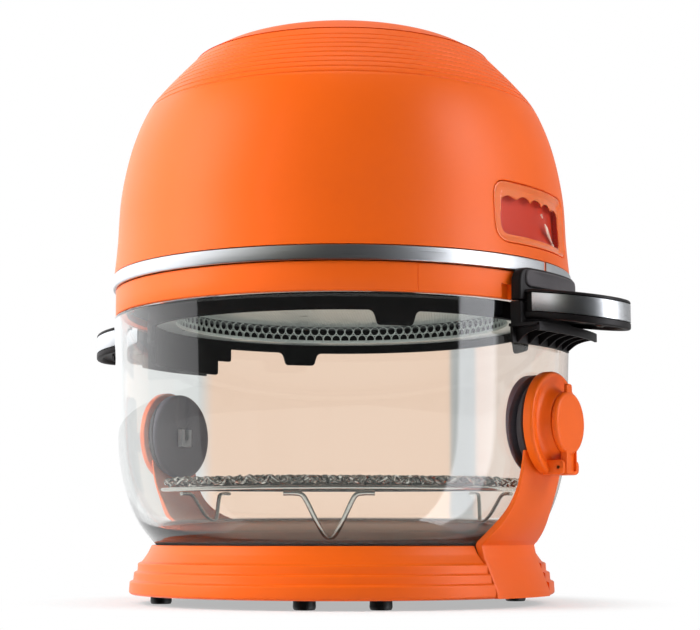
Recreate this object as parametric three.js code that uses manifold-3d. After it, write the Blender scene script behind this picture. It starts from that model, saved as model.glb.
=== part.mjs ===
// Countertop deep fryer of the hot-air kind: a glass bowl stands in a stepped base, a domed head with the
// heater and fans rests on the bowl's rim, and two arms from the base carry a magnetic spit drive.
// Millimetres, +Z up, front at -Y, origin on the bowl's axis at table height.
import * as THREE from 'three';
import { mergeVertices } from 'three/addons/utils/BufferGeometryUtils.js';
import Module from 'manifold-3d';

// ---------------------------------------------------------------- driving dimensions
const ROUND = 32; // sides of a large turned piece
const FINE = 72; // sides of a turned piece that close-fitting panels are cut from
const GAP = 0.4; // clearance between neighbouring pieces

const FOOT_HEIGHT = 5.3;
const FOOT_RADIUS = 6.2;
const FOOT_CIRCLE = 105;
const FOOT_ANGLES = [-45, 45, 135, -135, -157, -23];

const BASE_TOP = 33.2;
const BOWL_BOTTOM = 27;
const BOWL_FLOOR = 33;
const BOWL_TOP = 164.4;
const BOWL_WALL = 4;

const HEAD_CENTRE = 99; // height of the arm heads, discs and spit axis
const HEAD_RADIUS = 28.5;
const ARM_HALF_WIDTH = 22;
const FOOT_PANEL_HALF_WIDTH = 30.6;
const ARM_GAP = 0.6;
const ARM_WALL = 4.2;
const PIN_HEIGHT = 75;
const PIN_REACH = 145.8;
const CAP_BACK = 146;
const CAP_FACE = 149.6;
const CAP_RADIUS = 17.2;
const TONGUE_HALF_WIDTH = 6.4;
const TONGUE_BOTTOM = 71;

const RACK_RADIUS = 104;
const RACK_HEIGHT = 64;
const RACK_ROD = 1.5;

const RING_RADIUS = 133.2;
const RING_BOTTOM = 164.8;
const RING_TOP = 180.1;
const BAND_RADIUS = 135;
const BAND_TOP = 188.5;
const DOME_BOTTOM = 188.9;
const DOME_WALL = 3;
const LINER_RADIUS = 114.6;
const LINER_WALL = 2.6;
const LINER_BOTTOM = 157;
const TAB_BOTTOM = 149;
const REAR_BLOCK_BOTTOM = 140;
const TAB_ANGLES = [-42, 48, 138, -132];
const GUARD_RADIUS = 98;
const SHIELD_RADIUS = 111.4;

const WINDOW = { halfWidth: 41, bottom: 195.4, top: 230, corner: 10 };
const NEEDLE_AZIMUTH = 14;
const NEEDLE_HEIGHT = 201.8;
const NEEDLE_LENGTH = 23;
const NEEDLE_LEAN = 64;
const NEEDLE_PLANE = 128.4;

const HANDLE_HALF_WIDTH = 33.5;
const HANDLE_TOP = 182;
const HANDLE_BOTTOM = 141;
const PARTING_HEIGHT = 163.6;
const PADDLE_HALF_WIDTH = 30;
const PADDLE_REACH = 182.6;
const PADDLE_BOTTOM = 151.5;
const PADDLE_TOP = 167.5;
const TRIM_BOTTOM = 155.5;
const TRIM_TOP = 165.5;
const TRIM_THICKNESS = 1.4;
const TRIM_START = 145;
const LIP_REACH = 153;
const LIP_HALF_WIDTH = 35;
const PAD_HEIGHT = 176;
const PAD_HALF_WIDTH = 29.4;
const PAD_HALF_HEIGHT = 4.6;

// ---------------------------------------------------------------- outlines, as radius and height
const spline = (points, count) => new THREE.SplineCurve(points.map(([r, z]) => new THREE.Vector2(r, z)))
  .getPoints(count).map((p) => [p.x, p.y]);

const bowlOuter = spline([
  [134, BOWL_TOP], [132.9, 139.6], [131.1, 97], [127.6, 70.4], [119.5, 48.4], [108.3, 33.8],
  [98, 28.2], [88, BOWL_BOTTOM],
], 10);
const bowlInner = spline([
  [134 - BOWL_WALL, BOWL_TOP], [128.9, 139.6], [127.1, 97], [123.4, 70.4], [115, 50], [104, 38.6],
  [92, 34], [82, BOWL_FLOOR],
], 8);
const domeOuter = spline([
  [134.3, DOME_BOTTOM], [132.6, 208], [131, 235], [125.6, 262], [117.1, 284],
], 6);
const ribbedOuter = spline([[117.1, 284], [106.9, 298], [88.6, 317.6]], 3);
const capOuter = spline([[88.6, 318], [73.7, 326], [54.1, 332], [33.6, 336], [12.9, 339], [0, 340.5]], 5);

// Moves each point of an outline sideways, to the left of its direction of travel: inward on an outline
// that is drawn upward, outward on one that is drawn downward.
function offset(points, distance) {
  return points.map(([r, z], i) => {
    const [r0, z0] = points[Math.max(i - 1, 0)];
    const [r1, z1] = points[Math.min(i + 1, points.length - 1)];
    const length = Math.hypot(r1 - r0, z1 - z0);
    return [r - ((z1 - z0) / length) * distance, z + ((r1 - r0) / length) * distance];
  });
}

// ---------------------------------------------------------------- solids: join, cut and overlap
const wasm = await Module();
wasm.setup();

// A closed three.js geometry as a solid, with its faces turned outward if they point in.
function solid(geometry) {
  const bare = geometry.clone();
  bare.deleteAttribute('normal');
  bare.deleteAttribute('uv');
  const merged = mergeVertices(bare, 1e-4);
  const vertProperties = new Float32Array(merged.attributes.position.array);
  const corner = (i) => new THREE.Vector3().fromArray(vertProperties, 3 * i);
  const faces = [];
  let volume = 0;
  for (let i = 0; i < merged.index.count; i += 3) {
    const face = [merged.index.getX(i), merged.index.getX(i + 1), merged.index.getX(i + 2)];
    if (new Set(face).size === 3) {
      faces.push(face);
      volume += corner(face[0]).dot(corner(face[1]).cross(corner(face[2])));
    }
  }
  if (volume < 0) {
    faces.forEach((face) => face.reverse());
  }
  const triVerts = new Uint32Array(faces.flat());
  return new wasm.Manifold(new wasm.Mesh({ numProp: 3, vertProperties, triVerts }));
}

function geometryOf(body) {
  const mesh = body.getMesh();
  const geometry = new THREE.BufferGeometry();
  geometry.setAttribute('position', new THREE.BufferAttribute(new Float32Array(mesh.vertProperties), 3));
  geometry.setIndex(new THREE.BufferAttribute(new Uint32Array(mesh.triVerts), 1));
  return geometry;
}

const join = (...parts) => geometryOf(parts.map(solid).reduce((all, part) => all.add(part)));
const cut = (body, ...tools) => geometryOf(
  tools.map(solid).reduce((rest, tool) => rest.subtract(tool), solid(body)),
);
const common = (a, b) => geometryOf(solid(a).intersect(solid(b)));

// ---------------------------------------------------------------- basic shapes
const degrees = THREE.MathUtils.degToRad;

// A profile turned about the vertical axis. It closes on itself or starts and ends on the axis.
function turned(profile, sides = ROUND) {
  const closed = profile[0][0] === 0 ? profile : [...profile, profile[0]];
  const points = closed.map(([r, z]) => new THREE.Vector2(r, z));
  return new THREE.LatheGeometry(points, sides).rotateX(Math.PI / 2);
}

function box([x0, x1], [y0, y1], [z0, z1]) {
  return new THREE.BoxGeometry(x1 - x0, y1 - y0, z1 - z0)
    .translate((x0 + x1) / 2, (y0 + y1) / 2, (z0 + z1) / 2);
}

// A round bar standing on the table's plane.
function post(radius, [z0, z1], x = 0, y = 0, sides = 20) {
  return new THREE.CylinderGeometry(radius, radius, z1 - z0, sides).rotateX(Math.PI / 2)
    .translate(x, y, (z0 + z1) / 2);
}

// A round bar that points at the front, between two distances in front of the bowl's axis.
function barrel(radius, [near, far], x = 0, z = HEAD_CENTRE, sides = 28) {
  return new THREE.CylinderGeometry(radius, radius, far - near, sides).translate(x, -(near + far) / 2, z);
}

// A profile of radius and reach, turned about the spit's axis in the front.
function aboutSpit(profile, sides = 28) {
  return turned(profile, sides).rotateX(Math.PI / 2).translate(0, 0, HEAD_CENTRE);
}

// A round bar across the front.
function crossbar(radius, halfLength, reach, z, sides = 16) {
  return new THREE.CylinderGeometry(radius, radius, 2 * halfLength, sides).rotateZ(Math.PI / 2)
    .translate(0, -reach, z);
}

// An outline in x and z, made into a block between two distances in front of the bowl's axis.
function frontBlock(shape, [near, far], curveSegments = 3) {
  return new THREE.ExtrudeGeometry(shape, { depth: far - near, bevelEnabled: false, curveSegments })
    .rotateX(Math.PI / 2).translate(0, -near, 0);
}

// An outline in plan, x to the right and y toward the front, made into a block between two heights.
function planBlock(shape, [z0, z1], curveSegments = 7) {
  return new THREE.ExtrudeGeometry(shape, { depth: z1 - z0, bevelEnabled: false, curveSegments })
    .rotateX(Math.PI).translate(0, 0, z1);
}

function polygon(points) {
  return new THREE.Shape(points.map(([x, y]) => new THREE.Vector2(x, y)));
}

function roundedRectangle([x0, x1], [z0, z1], corner) {
  const shape = new THREE.Shape();
  shape.moveTo(x0 + corner, z0);
  shape.lineTo(x1 - corner, z0);
  shape.absarc(x1 - corner, z0 + corner, corner, -Math.PI / 2, 0);
  shape.lineTo(x1, z1 - corner);
  shape.absarc(x1 - corner, z1 - corner, corner, 0, Math.PI / 2);
  shape.lineTo(x0 + corner, z1);
  shape.absarc(x0 + corner, z1 - corner, corner, Math.PI / 2, Math.PI);
  shape.lineTo(x0, z0 + corner);
  shape.absarc(x0 + corner, z0 + corner, corner, Math.PI, 1.5 * Math.PI);
  return shape;
}

// A round rod bent along a path of points.
function rod(radius, points, steps, sides = 6) {
  const path = new THREE.CatmullRomCurve3(points.map((p) => new THREE.Vector3(...p)), false, 'chordal');
  const section = new THREE.Shape();
  section.absarc(0, 0, radius, 0, 2 * Math.PI);
  return new THREE.ExtrudeGeometry(section, { extrudePath: path, steps, curveSegments: sides / 2 });
}

// A flat ring wall between two radii and two heights.
const ringWall = ([r0, r1], [z0, z1], sides) => turned([[r0, z0], [r1, z0], [r1, z1], [r0, z1]], sides);

// A layer of the dome's wall, between two depths under its outer face.
function domeLayer(top, bottom) {
  return turned([...offset(domeOuter, top), ...offset(domeOuter, bottom).reverse()], FINE);
}

// ---------------------------------------------------------------- the object's tree
const fryer = new THREE.Group();

const FINISHES = {
  orange: { color: '#f2601f', roughness: 0.38, metalness: 0 },
  black: { color: '#1e1b1c', roughness: 0.5, metalness: 0 },
  rubber: { color: '#161616', roughness: 0.8, metalness: 0 },
  darkGrey: { color: '#5b545b', roughness: 0.5, metalness: 0 },
  lightGrey: { color: '#c9c9c7', roughness: 0.5, metalness: 0 },
  steel: { color: '#b9bcbf', roughness: 0.3, metalness: 1 },
  brushed: { color: '#c4c9cd', roughness: 0.35, metalness: 1 },
  glass: { color: '#f4f8f8', roughness: 0.03, metalness: 0, transparent: true, opacity: 0.3 },
  darkRed: { color: '#b8382a', roughness: 0.3, metalness: 0 },
  peach: { color: '#f9854a', roughness: 0.2, metalness: 0 },
  white: { color: '#f4efe8', roughness: 0.5, metalness: 0 },
  circuit: { color: '#2d5b3c', roughness: 0.6, metalness: 0 },
};

// Every piece goes through solid, so its faces point out whichever way its outline was drawn.
function add(name, geometry, finish, turn = 0) {
  const mesh = new THREE.Mesh(geometryOf(solid(geometry)), new THREE.MeshStandardMaterial(FINISHES[finish]));
  mesh.name = name;
  mesh.rotation.z = degrees(turn);
  fryer.add(mesh);
}

// ---------------------------------------------------------------- base
const SLOT_WIDTH = box([-31.2, 31.2], [-140, 0], [0, 36]);
const PANEL_SLOTS = [
  common(ringWall([112, 130], [0, 36], ROUND), SLOT_WIDTH),
  common(ringWall([104, 130], [24, 36], ROUND), SLOT_WIDTH),
];

// The stepped skirt, with an inner ledge that carries the bowl's seat and a slot for each arm's foot panel.
function baseShell() {
  const skirt = turned([
    [121.5, 5.2], [123, 6.3], [122.7, 12.6], [120.6, 13.4], [120.3, 17.8], [118.3, 18.6], [118.1, 23],
    [115.9, 23.8], [112.6, 28.5], [110.3, BASE_TOP], [108.9, BASE_TOP], [110.8, 27.5], [113.2, 22.5],
    [115.3, 17], [118.5, 9], [118.5, 5.2],
  ]);
  const ledge = ringWall([96, 115], [20.4, 23], ROUND);
  const rearSlots = PANEL_SLOTS.map((slot) => slot.clone().rotateZ(Math.PI));
  return cut(join(skirt, ledge), ...PANEL_SLOTS, ...rearSlots);
}

function bowlSeat() {
  return turned([
    [0, 26.2], [88, 26.2], [98.3, 27.2], [107.6, 32.2], [107.9, 29.8], [100, 24.4], [88, 23.4], [0, 23.4],
  ]);
}

add('base_shell', baseShell(), 'orange');
add('base_floor', turned([[0, 8.2], [117.9, 8.2], [117.9, 5.7], [0, 5.7]]), 'black');
add('bowl_seat', bowlSeat(), 'black');

FOOT_ANGLES.forEach((angle, i) => {
  const x = FOOT_CIRCLE * Math.cos(degrees(angle));
  const y = FOOT_CIRCLE * Math.sin(degrees(angle));
  add(`foot_${i + 1}`, post(FOOT_RADIUS, [0, FOOT_HEIGHT], x, y, 16), 'rubber');
});

// ---------------------------------------------------------------- arms and spit drive
const ROTOR_CAVITY = 23.4;
const MOTOR_POCKET = 14.3;
const HEAD_FACE = 140.4;
const HEAD_HOLLOW = 139.3; // floor of the ring-shaped hollow in the front head's face
const ROTOR_ROOM = 138.4;
const FLANGE_BACK = 134.6;
const NECK_TOP = 82;
const BOSS_FACE = CAP_BACK - 0.3;
const EAR_THICKNESS = 2.6;
const SLOT_HALF_WIDTH = TONGUE_HALF_WIDTH + 0.5;

// Everything outside the bowl by the arm's gap, as a solid to cut the arm heads with.
const besideArms = ([, z]) => z > 30 && z < 150;
const bowlSpace = turned([[0, 150], ...offset(bowlOuter, ARM_GAP).filter(besideArms), [0, 30]]);

const rotorSpace = barrel(HEAD_RADIUS - 2, [118, 145]);

// The neck joins the arm's plate to the ring of the head.
const neck = common(
  aboutSpit([[HEAD_RADIUS, 124], [HEAD_RADIUS, 136], [ROTOR_CAVITY, 136], [ROTOR_CAVITY, 124]]),
  box([-ARM_HALF_WIDTH, ARM_HALF_WIDTH], [-140, -100], [60, NECK_TOP]),
);

// The arm's plate: it rises from the foot panel and follows the bowl up to the head.
function armPlate() {
  const alongBowl = bowlOuter.filter(([, z]) => z > 40 && z < 135);
  const inner = offset(alongBowl, ARM_GAP);
  const outer = offset(alongBowl, ARM_GAP + ARM_WALL);
  const section = [
    [120.6, 5.4], [116.4, 17], [112.4, 27], [110.2, 33.6], ...inner.reverse(),
    ...outer, [114.3, 33.6], [115.6, 27], [119.6, 18], [123.4, 8.4], [124, 5.4],
  ];
  const outline = new THREE.Shape();
  const w = FOOT_PANEL_HALF_WIDTH;
  outline.moveTo(-w, 5);
  outline.lineTo(w, 5);
  outline.lineTo(w, 31);
  outline.bezierCurveTo(w, 42, ARM_HALF_WIDTH, 46, ARM_HALF_WIDTH, 62);
  outline.lineTo(ARM_HALF_WIDTH, NECK_TOP);
  outline.lineTo(-ARM_HALF_WIDTH, NECK_TOP);
  outline.lineTo(-ARM_HALF_WIDTH, 62);
  outline.bezierCurveTo(-ARM_HALF_WIDTH, 46, -w, 42, -w, 31);
  return common(turned(section), frontBlock(outline, [100, 145], 4));
}

// The front head has a rounded well ring, a boss for the motor and two ears for the flip cap's pin.
function frontArm() {
  const head = aboutSpit([
    [HEAD_RADIUS, FLANGE_BACK], [HEAD_RADIUS, HEAD_HOLLOW], [HEAD_RADIUS - 0.9, HEAD_FACE], [26.2, HEAD_FACE],
    [22.5, HEAD_HOLLOW], [19.6, HEAD_HOLLOW], [17.6, HEAD_FACE], [16.8, 142.4], [16.8, BOSS_FACE],
    [MOTOR_POCKET, BOSS_FACE],
    [MOTOR_POCKET, ROTOR_ROOM], [ROTOR_CAVITY, ROTOR_ROOM], [ROTOR_CAVITY, FLANGE_BACK],
  ]);
  const tongueSlot = box([-SLOT_HALF_WIDTH, SLOT_HALF_WIDTH], [-153, -139.6], [68, 84.5]);
  const ears = [-SLOT_HALF_WIDTH - EAR_THICKNESS, SLOT_HALF_WIDTH].map((x) => box(
    [x, x + EAR_THICKNESS], [-149, -136.4], [TONGUE_BOTTOM, PIN_HEIGHT + 4],
  ));
  const pinHole = crossbar(1.6, 12, PIN_REACH, PIN_HEIGHT);
  const arm = cut(join(cut(armPlate(), rotorSpace), neck, head), tongueSlot);
  return cut(join(arm, ...ears), bowlSpace, barrel(ROTOR_CAVITY, [118, ROTOR_ROOM]), pinHole);
}

// The rear head is closed by a plain domed boss with a bearing hole for the idler.
function rearArm() {
  const head = aboutSpit([
    [0, 142.5], [14, 142], [22, 141.2], [HEAD_RADIUS - 0.9, HEAD_FACE], [HEAD_RADIUS, HEAD_HOLLOW],
    [HEAD_RADIUS, FLANGE_BACK], [ROTOR_CAVITY, FLANGE_BACK], [ROTOR_CAVITY, ROTOR_ROOM], [2.2, ROTOR_ROOM],
    [2.2, 140.4], [0, 140.4],
  ]);
  return cut(join(cut(armPlate(), rotorSpace), neck, head), bowlSpace);
}

// The black puck behind the head fills the space to the glass, with a notch for the neck.
function armCover() {
  const puck = cut(
    barrel(HEAD_RADIUS - 0.5, [124, FLANGE_BACK - GAP]),
    box([-ARM_HALF_WIDTH - 0.5, ARM_HALF_WIDTH + 0.5], [-140, -100], [60, NECK_TOP + GAP]),
  );
  const disc = barrel(ROTOR_CAVITY - GAP, [133, FLANGE_BACK - GAP]);
  return cut(join(puck, disc), bowlSpace);
}

// A steel cup of magnets on a short pin, which turns close behind the glass.
function magnetRotor() {
  return aboutSpit([
    [0, 134.7], [21.5, 134.7], [21.5, 138], [15.6, 138], [15.6, 136], [1.5, 136], [1.5, 139.6], [0, 139.6],
  ], 24);
}

function driveMotor() {
  return cut(barrel(13.6, [136.3, BOSS_FACE - 0.3]), barrel(2.1, [136, 141], 0, HEAD_CENTRE, 12));
}

// The flip cap: a round lid with a pull tab at the top, and a pocketed tongue with a knuckle at the bottom.
function driveCap() {
  const lid = cut(barrel(CAP_RADIUS, [CAP_BACK, CAP_FACE]), barrel(12, [CAP_BACK - 1, CAP_BACK + 1.6]));
  const tab = box([-3.2, 3.2], [0.8 - CAP_FACE, -CAP_BACK - 0.4], [HEAD_CENTRE + 15.5, HEAD_CENTRE + 21.5]);
  const outline = roundedRectangle(
    [-TONGUE_HALF_WIDTH, TONGUE_HALF_WIDTH], [TONGUE_BOTTOM, HEAD_CENTRE - 13], 2,
  );
  const tongue = frontBlock(outline, [CAP_BACK, CAP_FACE]);
  const pocket = box([-1.5, 5], [-CAP_FACE - 1, 1.6 - CAP_FACE], [PIN_HEIGHT - 2, PIN_HEIGHT + 9]);
  const knuckle = crossbar(3.7, TONGUE_HALF_WIDTH, PIN_REACH, PIN_HEIGHT);
  return cut(join(lid, tab, tongue, knuckle), pocket, crossbar(1.6, 8, PIN_REACH, PIN_HEIGHT));
}

add('front_arm', frontArm(), 'orange');
add('rear_arm', rearArm(), 'orange', 180);
add('drive_cap', driveCap(), 'orange');
add('cap_hinge_pin', crossbar(1.2, SLOT_HALF_WIDTH + EAR_THICKNESS, PIN_REACH, PIN_HEIGHT, 12), 'steel');
add('drive_motor', driveMotor(), 'steel');
[['front', 0], ['rear', 180]].forEach(([end, turn]) => {
  add(`${end}_arm_cover`, armCover(), 'black', turn);
  add(`${end}_magnet_rotor`, magnetRotor(), 'steel', turn);
});

// ---------------------------------------------------------------- bowl and spit holders
function glassBowl() {
  return turned([[0, BOWL_BOTTOM], ...[...bowlOuter].reverse(), ...bowlInner, [0, BOWL_FLOOR]]);
}

const DISC_RADIUS = 27;
const DISC_FACE = 121.2;

// A disc held to the glass by its magnets: flat inside, and curved to the glass behind.
function holderDisc() {
  const wall = offset(bowlInner, -GAP - 0.2).filter(([, z]) => z < 150);
  const insideGlass = turned([[0, 150], ...wall, [0, BOWL_FLOOR + 1]]);
  const disc = common(barrel(DISC_RADIUS, [DISC_FACE, 134]), insideGlass);
  return cut(disc, barrel(7.5, [118, DISC_FACE + 4], 0, HEAD_CENTRE, 24));
}

// The turning socket: a round hub with an open slot that the spit's end drops into.
function spitSocket() {
  const hub = barrel(7, [DISC_FACE - 4, DISC_FACE + 3.6], 0, HEAD_CENTRE, 24);
  return cut(hub, box([-2.4, 2.4], [-DISC_FACE - 1.2, -110], [HEAD_CENTRE - 2.4, HEAD_CENTRE + 9]));
}

add('glass_bowl', glassBowl(), 'glass');
[['front', 0], ['rear', 180]].forEach(([end, turn]) => {
  add(`${end}_holder_disc`, holderDisc(), 'darkGrey', turn);
  add(`${end}_spit_socket`, spitSocket(), 'lightGrey', turn);
});

// ---------------------------------------------------------------- rack
const MESH_RADIUS = 101;
const MESH_BOTTOM = 66.2;
const MESH_TOP = 68.4;
const LEG_ANGLES = [-150, -30, 90];

// The crossed wires of the rack's top, one way over the other, inside a thin edge ring.
function rackMesh() {
  const spacing = 44;
  const half = 1;
  const lines = [-1.5, -0.5, 0.5, 1.5].map((n) => n * spacing);
  const bars = lines.flatMap((at) => {
    const reach = Math.sqrt(MESH_RADIUS ** 2 - at ** 2) - 1.8;
    const width = [at - half, at + half];
    const under = box([-reach, reach], width, [MESH_BOTTOM, MESH_TOP - 0.6]);
    const over = box(width, [-reach, reach], [MESH_BOTTOM + 0.6, MESH_TOP]);
    return [under, over];
  });
  const edge = ringWall([MESH_RADIUS - 2.4, MESH_RADIUS], [MESH_BOTTOM - 0.2, MESH_TOP - 0.2], ROUND);
  return join(edge, ...bars);
}

// One wire leg: flat ends under the rim and a rounded V down to the bowl's floor, leaning inward.
function rackLeg() {
  const top = RACK_HEIGHT - 2 * RACK_ROD - 0.6;
  const foot = BOWL_FLOOR + 4.2;
  const lean = (z) => -(96.5 + ((RACK_RADIUS - 2 - 96.5) * (z - foot)) / (top - foot));
  const half = [
    [0, foot], [2.6, foot + 1.6], [6, foot + 8], [11.5, top - 4], [14, top - 0.7], [18, top], [24, top],
  ];
  const mirrored = half.slice(1).reverse().map(([x, z]) => [-x, z]);
  return rod(RACK_ROD, [...mirrored, ...half].map(([x, z]) => [x, lean(z), z]), 26);
}

const rackRim = new THREE.TorusGeometry(RACK_RADIUS, RACK_ROD, 6, ROUND).translate(0, 0, RACK_HEIGHT);
add('rack_rim', rackRim, 'steel');
add('rack_mesh', rackMesh(), 'steel');
LEG_ANGLES.forEach((angle, i) => add(`rack_leg_${i + 1}`, rackLeg(), 'steel', angle + 90));

// ---------------------------------------------------------------- head: shells and rings
const vent = { halfWidth: 38, bottom: 227, top: 259, corner: 6 };
const inlet = { halfWidth: 15.5, bottom: 197, top: 218, corner: 3 };

const windowShape = ({ halfWidth, bottom, top, corner }, inset = 0) => roundedRectangle(
  [-halfWidth + inset, halfWidth - inset], [bottom + inset, top - inset], corner - inset,
);

function domeShell() {
  const outer = [...domeOuter, ...ribbedOuter.slice(1)];
  const wall = turned([...outer, ...offset(outer, DOME_WALL).reverse()]);
  const behind = [vent, inlet].map((hole) => frontBlock(windowShape(hole), [100, 140]).rotateZ(Math.PI));
  return cut(wall, frontBlock(windowShape(WINDOW), [100, 140]), ...behind);
}

// The smooth cap closes the dome: it sits on the dome's top edge.
function topCap() {
  const under = offset(capOuter, 2.4).filter(([r, z]) => r > 6 && z > 318);
  return turned([[0, capOuter.at(-1)[1]], ...capOuter.slice(0, -1).reverse(), [84, 318], ...under, [0, 338]]);
}

function lowerRing() {
  return turned([
    [126.5, RING_BOTTOM], [RING_RADIUS, RING_BOTTOM], [RING_RADIUS, RING_TOP], [130.5, RING_TOP],
    [130.5, BAND_TOP], [127.5, BAND_TOP], [127.5, 169], [126.5, 169],
  ]);
}

function trimBand() {
  const bottom = RING_TOP + GAP;
  return turned([
    [130.9, bottom], [134.4, bottom], [BAND_RADIUS, bottom + 0.7], [BAND_RADIUS, BAND_TOP - 0.7],
    [134.4, BAND_TOP], [130.9, BAND_TOP],
  ]);
}

// The black skirt that hangs into the bowl: a flange, a short wall, four tabs and a stepped block behind.
function innerLiner() {
  const inside = LINER_RADIUS - LINER_WALL;
  const skirt = turned([
    [inside, LINER_BOTTOM], [LINER_RADIUS, LINER_BOTTOM], [LINER_RADIUS, 169.4], [127.1, 169.4],
    [127.1, 171.8], [inside, 171.8], [inside, 161.6], [108.8, 161.6], [108.8, 160], [inside, 160],
  ]);
  const tabs = TAB_ANGLES.map((angle) => {
    const root = LINER_BOTTOM + 1;
    const shape = polygon([[-9.5, TAB_BOTTOM], [9.5, TAB_BOTTOM], [12, root], [-12, root]]);
    return frontBlock(shape, [90, 125]).rotateZ(degrees(angle));
  });
  const stepped = polygon([
    [-21.5, REAR_BLOCK_BOTTOM], [56, REAR_BLOCK_BOTTOM], [56, LINER_BOTTOM + 1], [-32, LINER_BOTTOM + 1],
    [-32, TAB_BOTTOM], [-21.5, TAB_BOTTOM],
  ]);
  const rearBlock = frontBlock(stepped, [80, 125]).rotateZ(Math.PI);
  const hanging = ringWall([inside, LINER_RADIUS], [REAR_BLOCK_BOTTOM, LINER_BOTTOM + 1], ROUND);
  return join(skirt, ...[...tabs, rearBlock].map((shape) => common(hanging, shape)));
}

add('dome_shell', domeShell(), 'orange');
add('top_cap', topCap(), 'orange');
add('trim_band', trimBand(), 'brushed');
add('lower_ring', lowerRing(), 'orange');
add('inner_liner', innerLiner(), 'black');

// ---------------------------------------------------------------- head: heater, fans and motor
const SHIELD_TOP = 204.2;
const HEATER_HEIGHT = 183;
const MOTOR_RADIUS = 32;
const SHAFT_RADIUS = 3;

// The perforated guard under the fan: a shallow upside-down pan with round holes.
function guardMesh() {
  const pan = turned([
    [0, 174], [GUARD_RADIUS + 1.2, 174], [GUARD_RADIUS + 1.2, 163.2], [111.4, 163.2], [111.4, 162],
    [GUARD_RADIUS, 162], [GUARD_RADIUS, 172.8], [0, 172.8],
  ]);
  const ringOfHoles = (radius, count) => Array.from({ length: count }, (_, i) => {
    const angle = (2 * Math.PI * i) / count;
    return post(9, [170, 176], radius * Math.cos(angle), radius * Math.sin(angle), 6);
  });
  return cut(pan, ...ringOfHoles(36, 5), ...ringOfHoles(74, 11));
}

function heatShield() {
  const pan = turned([
    [124, 172.2], [124, 173.4], [SHIELD_RADIUS, 173.4], [SHIELD_RADIUS, SHIELD_TOP], [8, SHIELD_TOP],
    [8, SHIELD_TOP - 1.2], [SHIELD_RADIUS - 1.2, SHIELD_TOP - 1.2], [SHIELD_RADIUS - 1.2, 172.2],
  ]);
  const probeHole = post(3, [200, 208], 96, 0, 12);
  const terminalHoles = [-12, 12].map((x) => post(5.5, [200, 208], x, 88, 12));
  return cut(pan, probeHole, ...terminalHoles);
}

// Two turns of sheathed heating rod, with both ends bent up through the shield.
function heaterCoil() {
  const turns = Array.from({ length: 25 }, (_, i) => {
    const angle = degrees(98 + (700 * i) / 24);
    const radius = 86 - (18 * i) / 24;
    return [radius * Math.cos(angle), radius * Math.sin(angle), HEATER_HEIGHT];
  });
  const ends = [[-12, 88], [12, 88]];
  const start = [[...ends[0], 212], [...ends[0], 194], [-12.2, 86.5, 186]];
  const finish = [[12.4, 78, 187.5], [...ends[1], 195], [...ends[1], 212]];
  return rod(3.2, [...start, ...turns.slice(1, -1), ...finish], 56);
}

// A flat hub disc with radial blades, bored for the shaft.
function bladeFan({ hub, disc, z, thickness, blades, bladeFrom, bladeTo, bladeTop }) {
  const plate = post(disc, [z, z + thickness], 0, 0, 32);
  const boss = post(hub, [z, bladeTop], 0, 0, 20);
  const fin = box([bladeFrom, bladeTo], [-0.8, 0.8], [z + 0.5, bladeTop]);
  const fins = Array.from({ length: blades }, (_, i) => fin.clone().rotateZ((2 * Math.PI * i) / blades));
  return cut(join(plate, boss, ...fins), post(SHAFT_RADIUS + GAP, [z - 5, bladeTop + 5]));
}

// The motor's can on its square mounting plate, bored for the shaft.
function fanMotor() {
  const can = post(MOTOR_RADIUS, [206, 246], 0, 0, 28);
  const plate = box([-46, 46], [-46, 46], [SHIELD_TOP + GAP, 207]);
  return cut(join(can, plate), post(SHAFT_RADIUS + GAP, [200, 250]));
}

function temperatureProbe() {
  return join(post(2, [178, 206], 96, 0, 12), post(6, [SHIELD_TOP + GAP, 212], 96, 0, 12));
}

function controlBoard() {
  const board = box([-42, 42], [-117.2, -115.6], [206, 228]);
  const transformer = box([-30, -8], [-115.8, -102], [208, 226]);
  const relay = box([8, 26], [-115.8, -106], [210, 222]);
  return join(board, transformer, relay);
}

add('heat_shield', heatShield(), 'steel');
add('guard_mesh', guardMesh(), 'steel');
add('heater_coil', heaterCoil(), 'steel');
add('convection_fan', bladeFan({
  hub: 9, disc: 46, z: 190, thickness: 1.2, blades: 8, bladeFrom: 20, bladeTo: 62, bladeTop: 199,
}), 'steel');
add('motor_shaft', post(SHAFT_RADIUS, [187, 272], 0, 0, 16), 'steel');
add('fan_motor', fanMotor(), 'steel');
add('cooling_fan', bladeFan({
  hub: 9, disc: 20, z: 254, thickness: 1.6, blades: 6, bladeFrom: 8, bladeTo: 44, bladeTop: 265,
}), 'black');
add('temperature_probe', temperatureProbe(), 'steel');
add('control_board', controlBoard(), 'circuit');

// ---------------------------------------------------------------- head: display, vent and inlet
const VIEW = { halfWidth: 36, bottom: 199.2, top: 223.5, corner: 7 };

function displayBezel() {
  const frame = common(domeLayer(0.2, 7.2), frontBlock(windowShape(WINDOW, GAP), [100, 140]));
  return cut(frame, frontBlock(windowShape(VIEW), [100, 140]));
}

const displayLens = () => common(domeLayer(0.5, 1.5), frontBlock(windowShape(VIEW, GAP), [100, 140]));

function displayFace() {
  const face = common(domeLayer(5.6, 6.8), frontBlock(windowShape(VIEW, GAP), [100, 140]));
  return cut(face, barrel(1.4, [120, 135], 0, NEEDLE_HEIGHT, 12).rotateZ(degrees(NEEDLE_AZIMUTH)));
}

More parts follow.
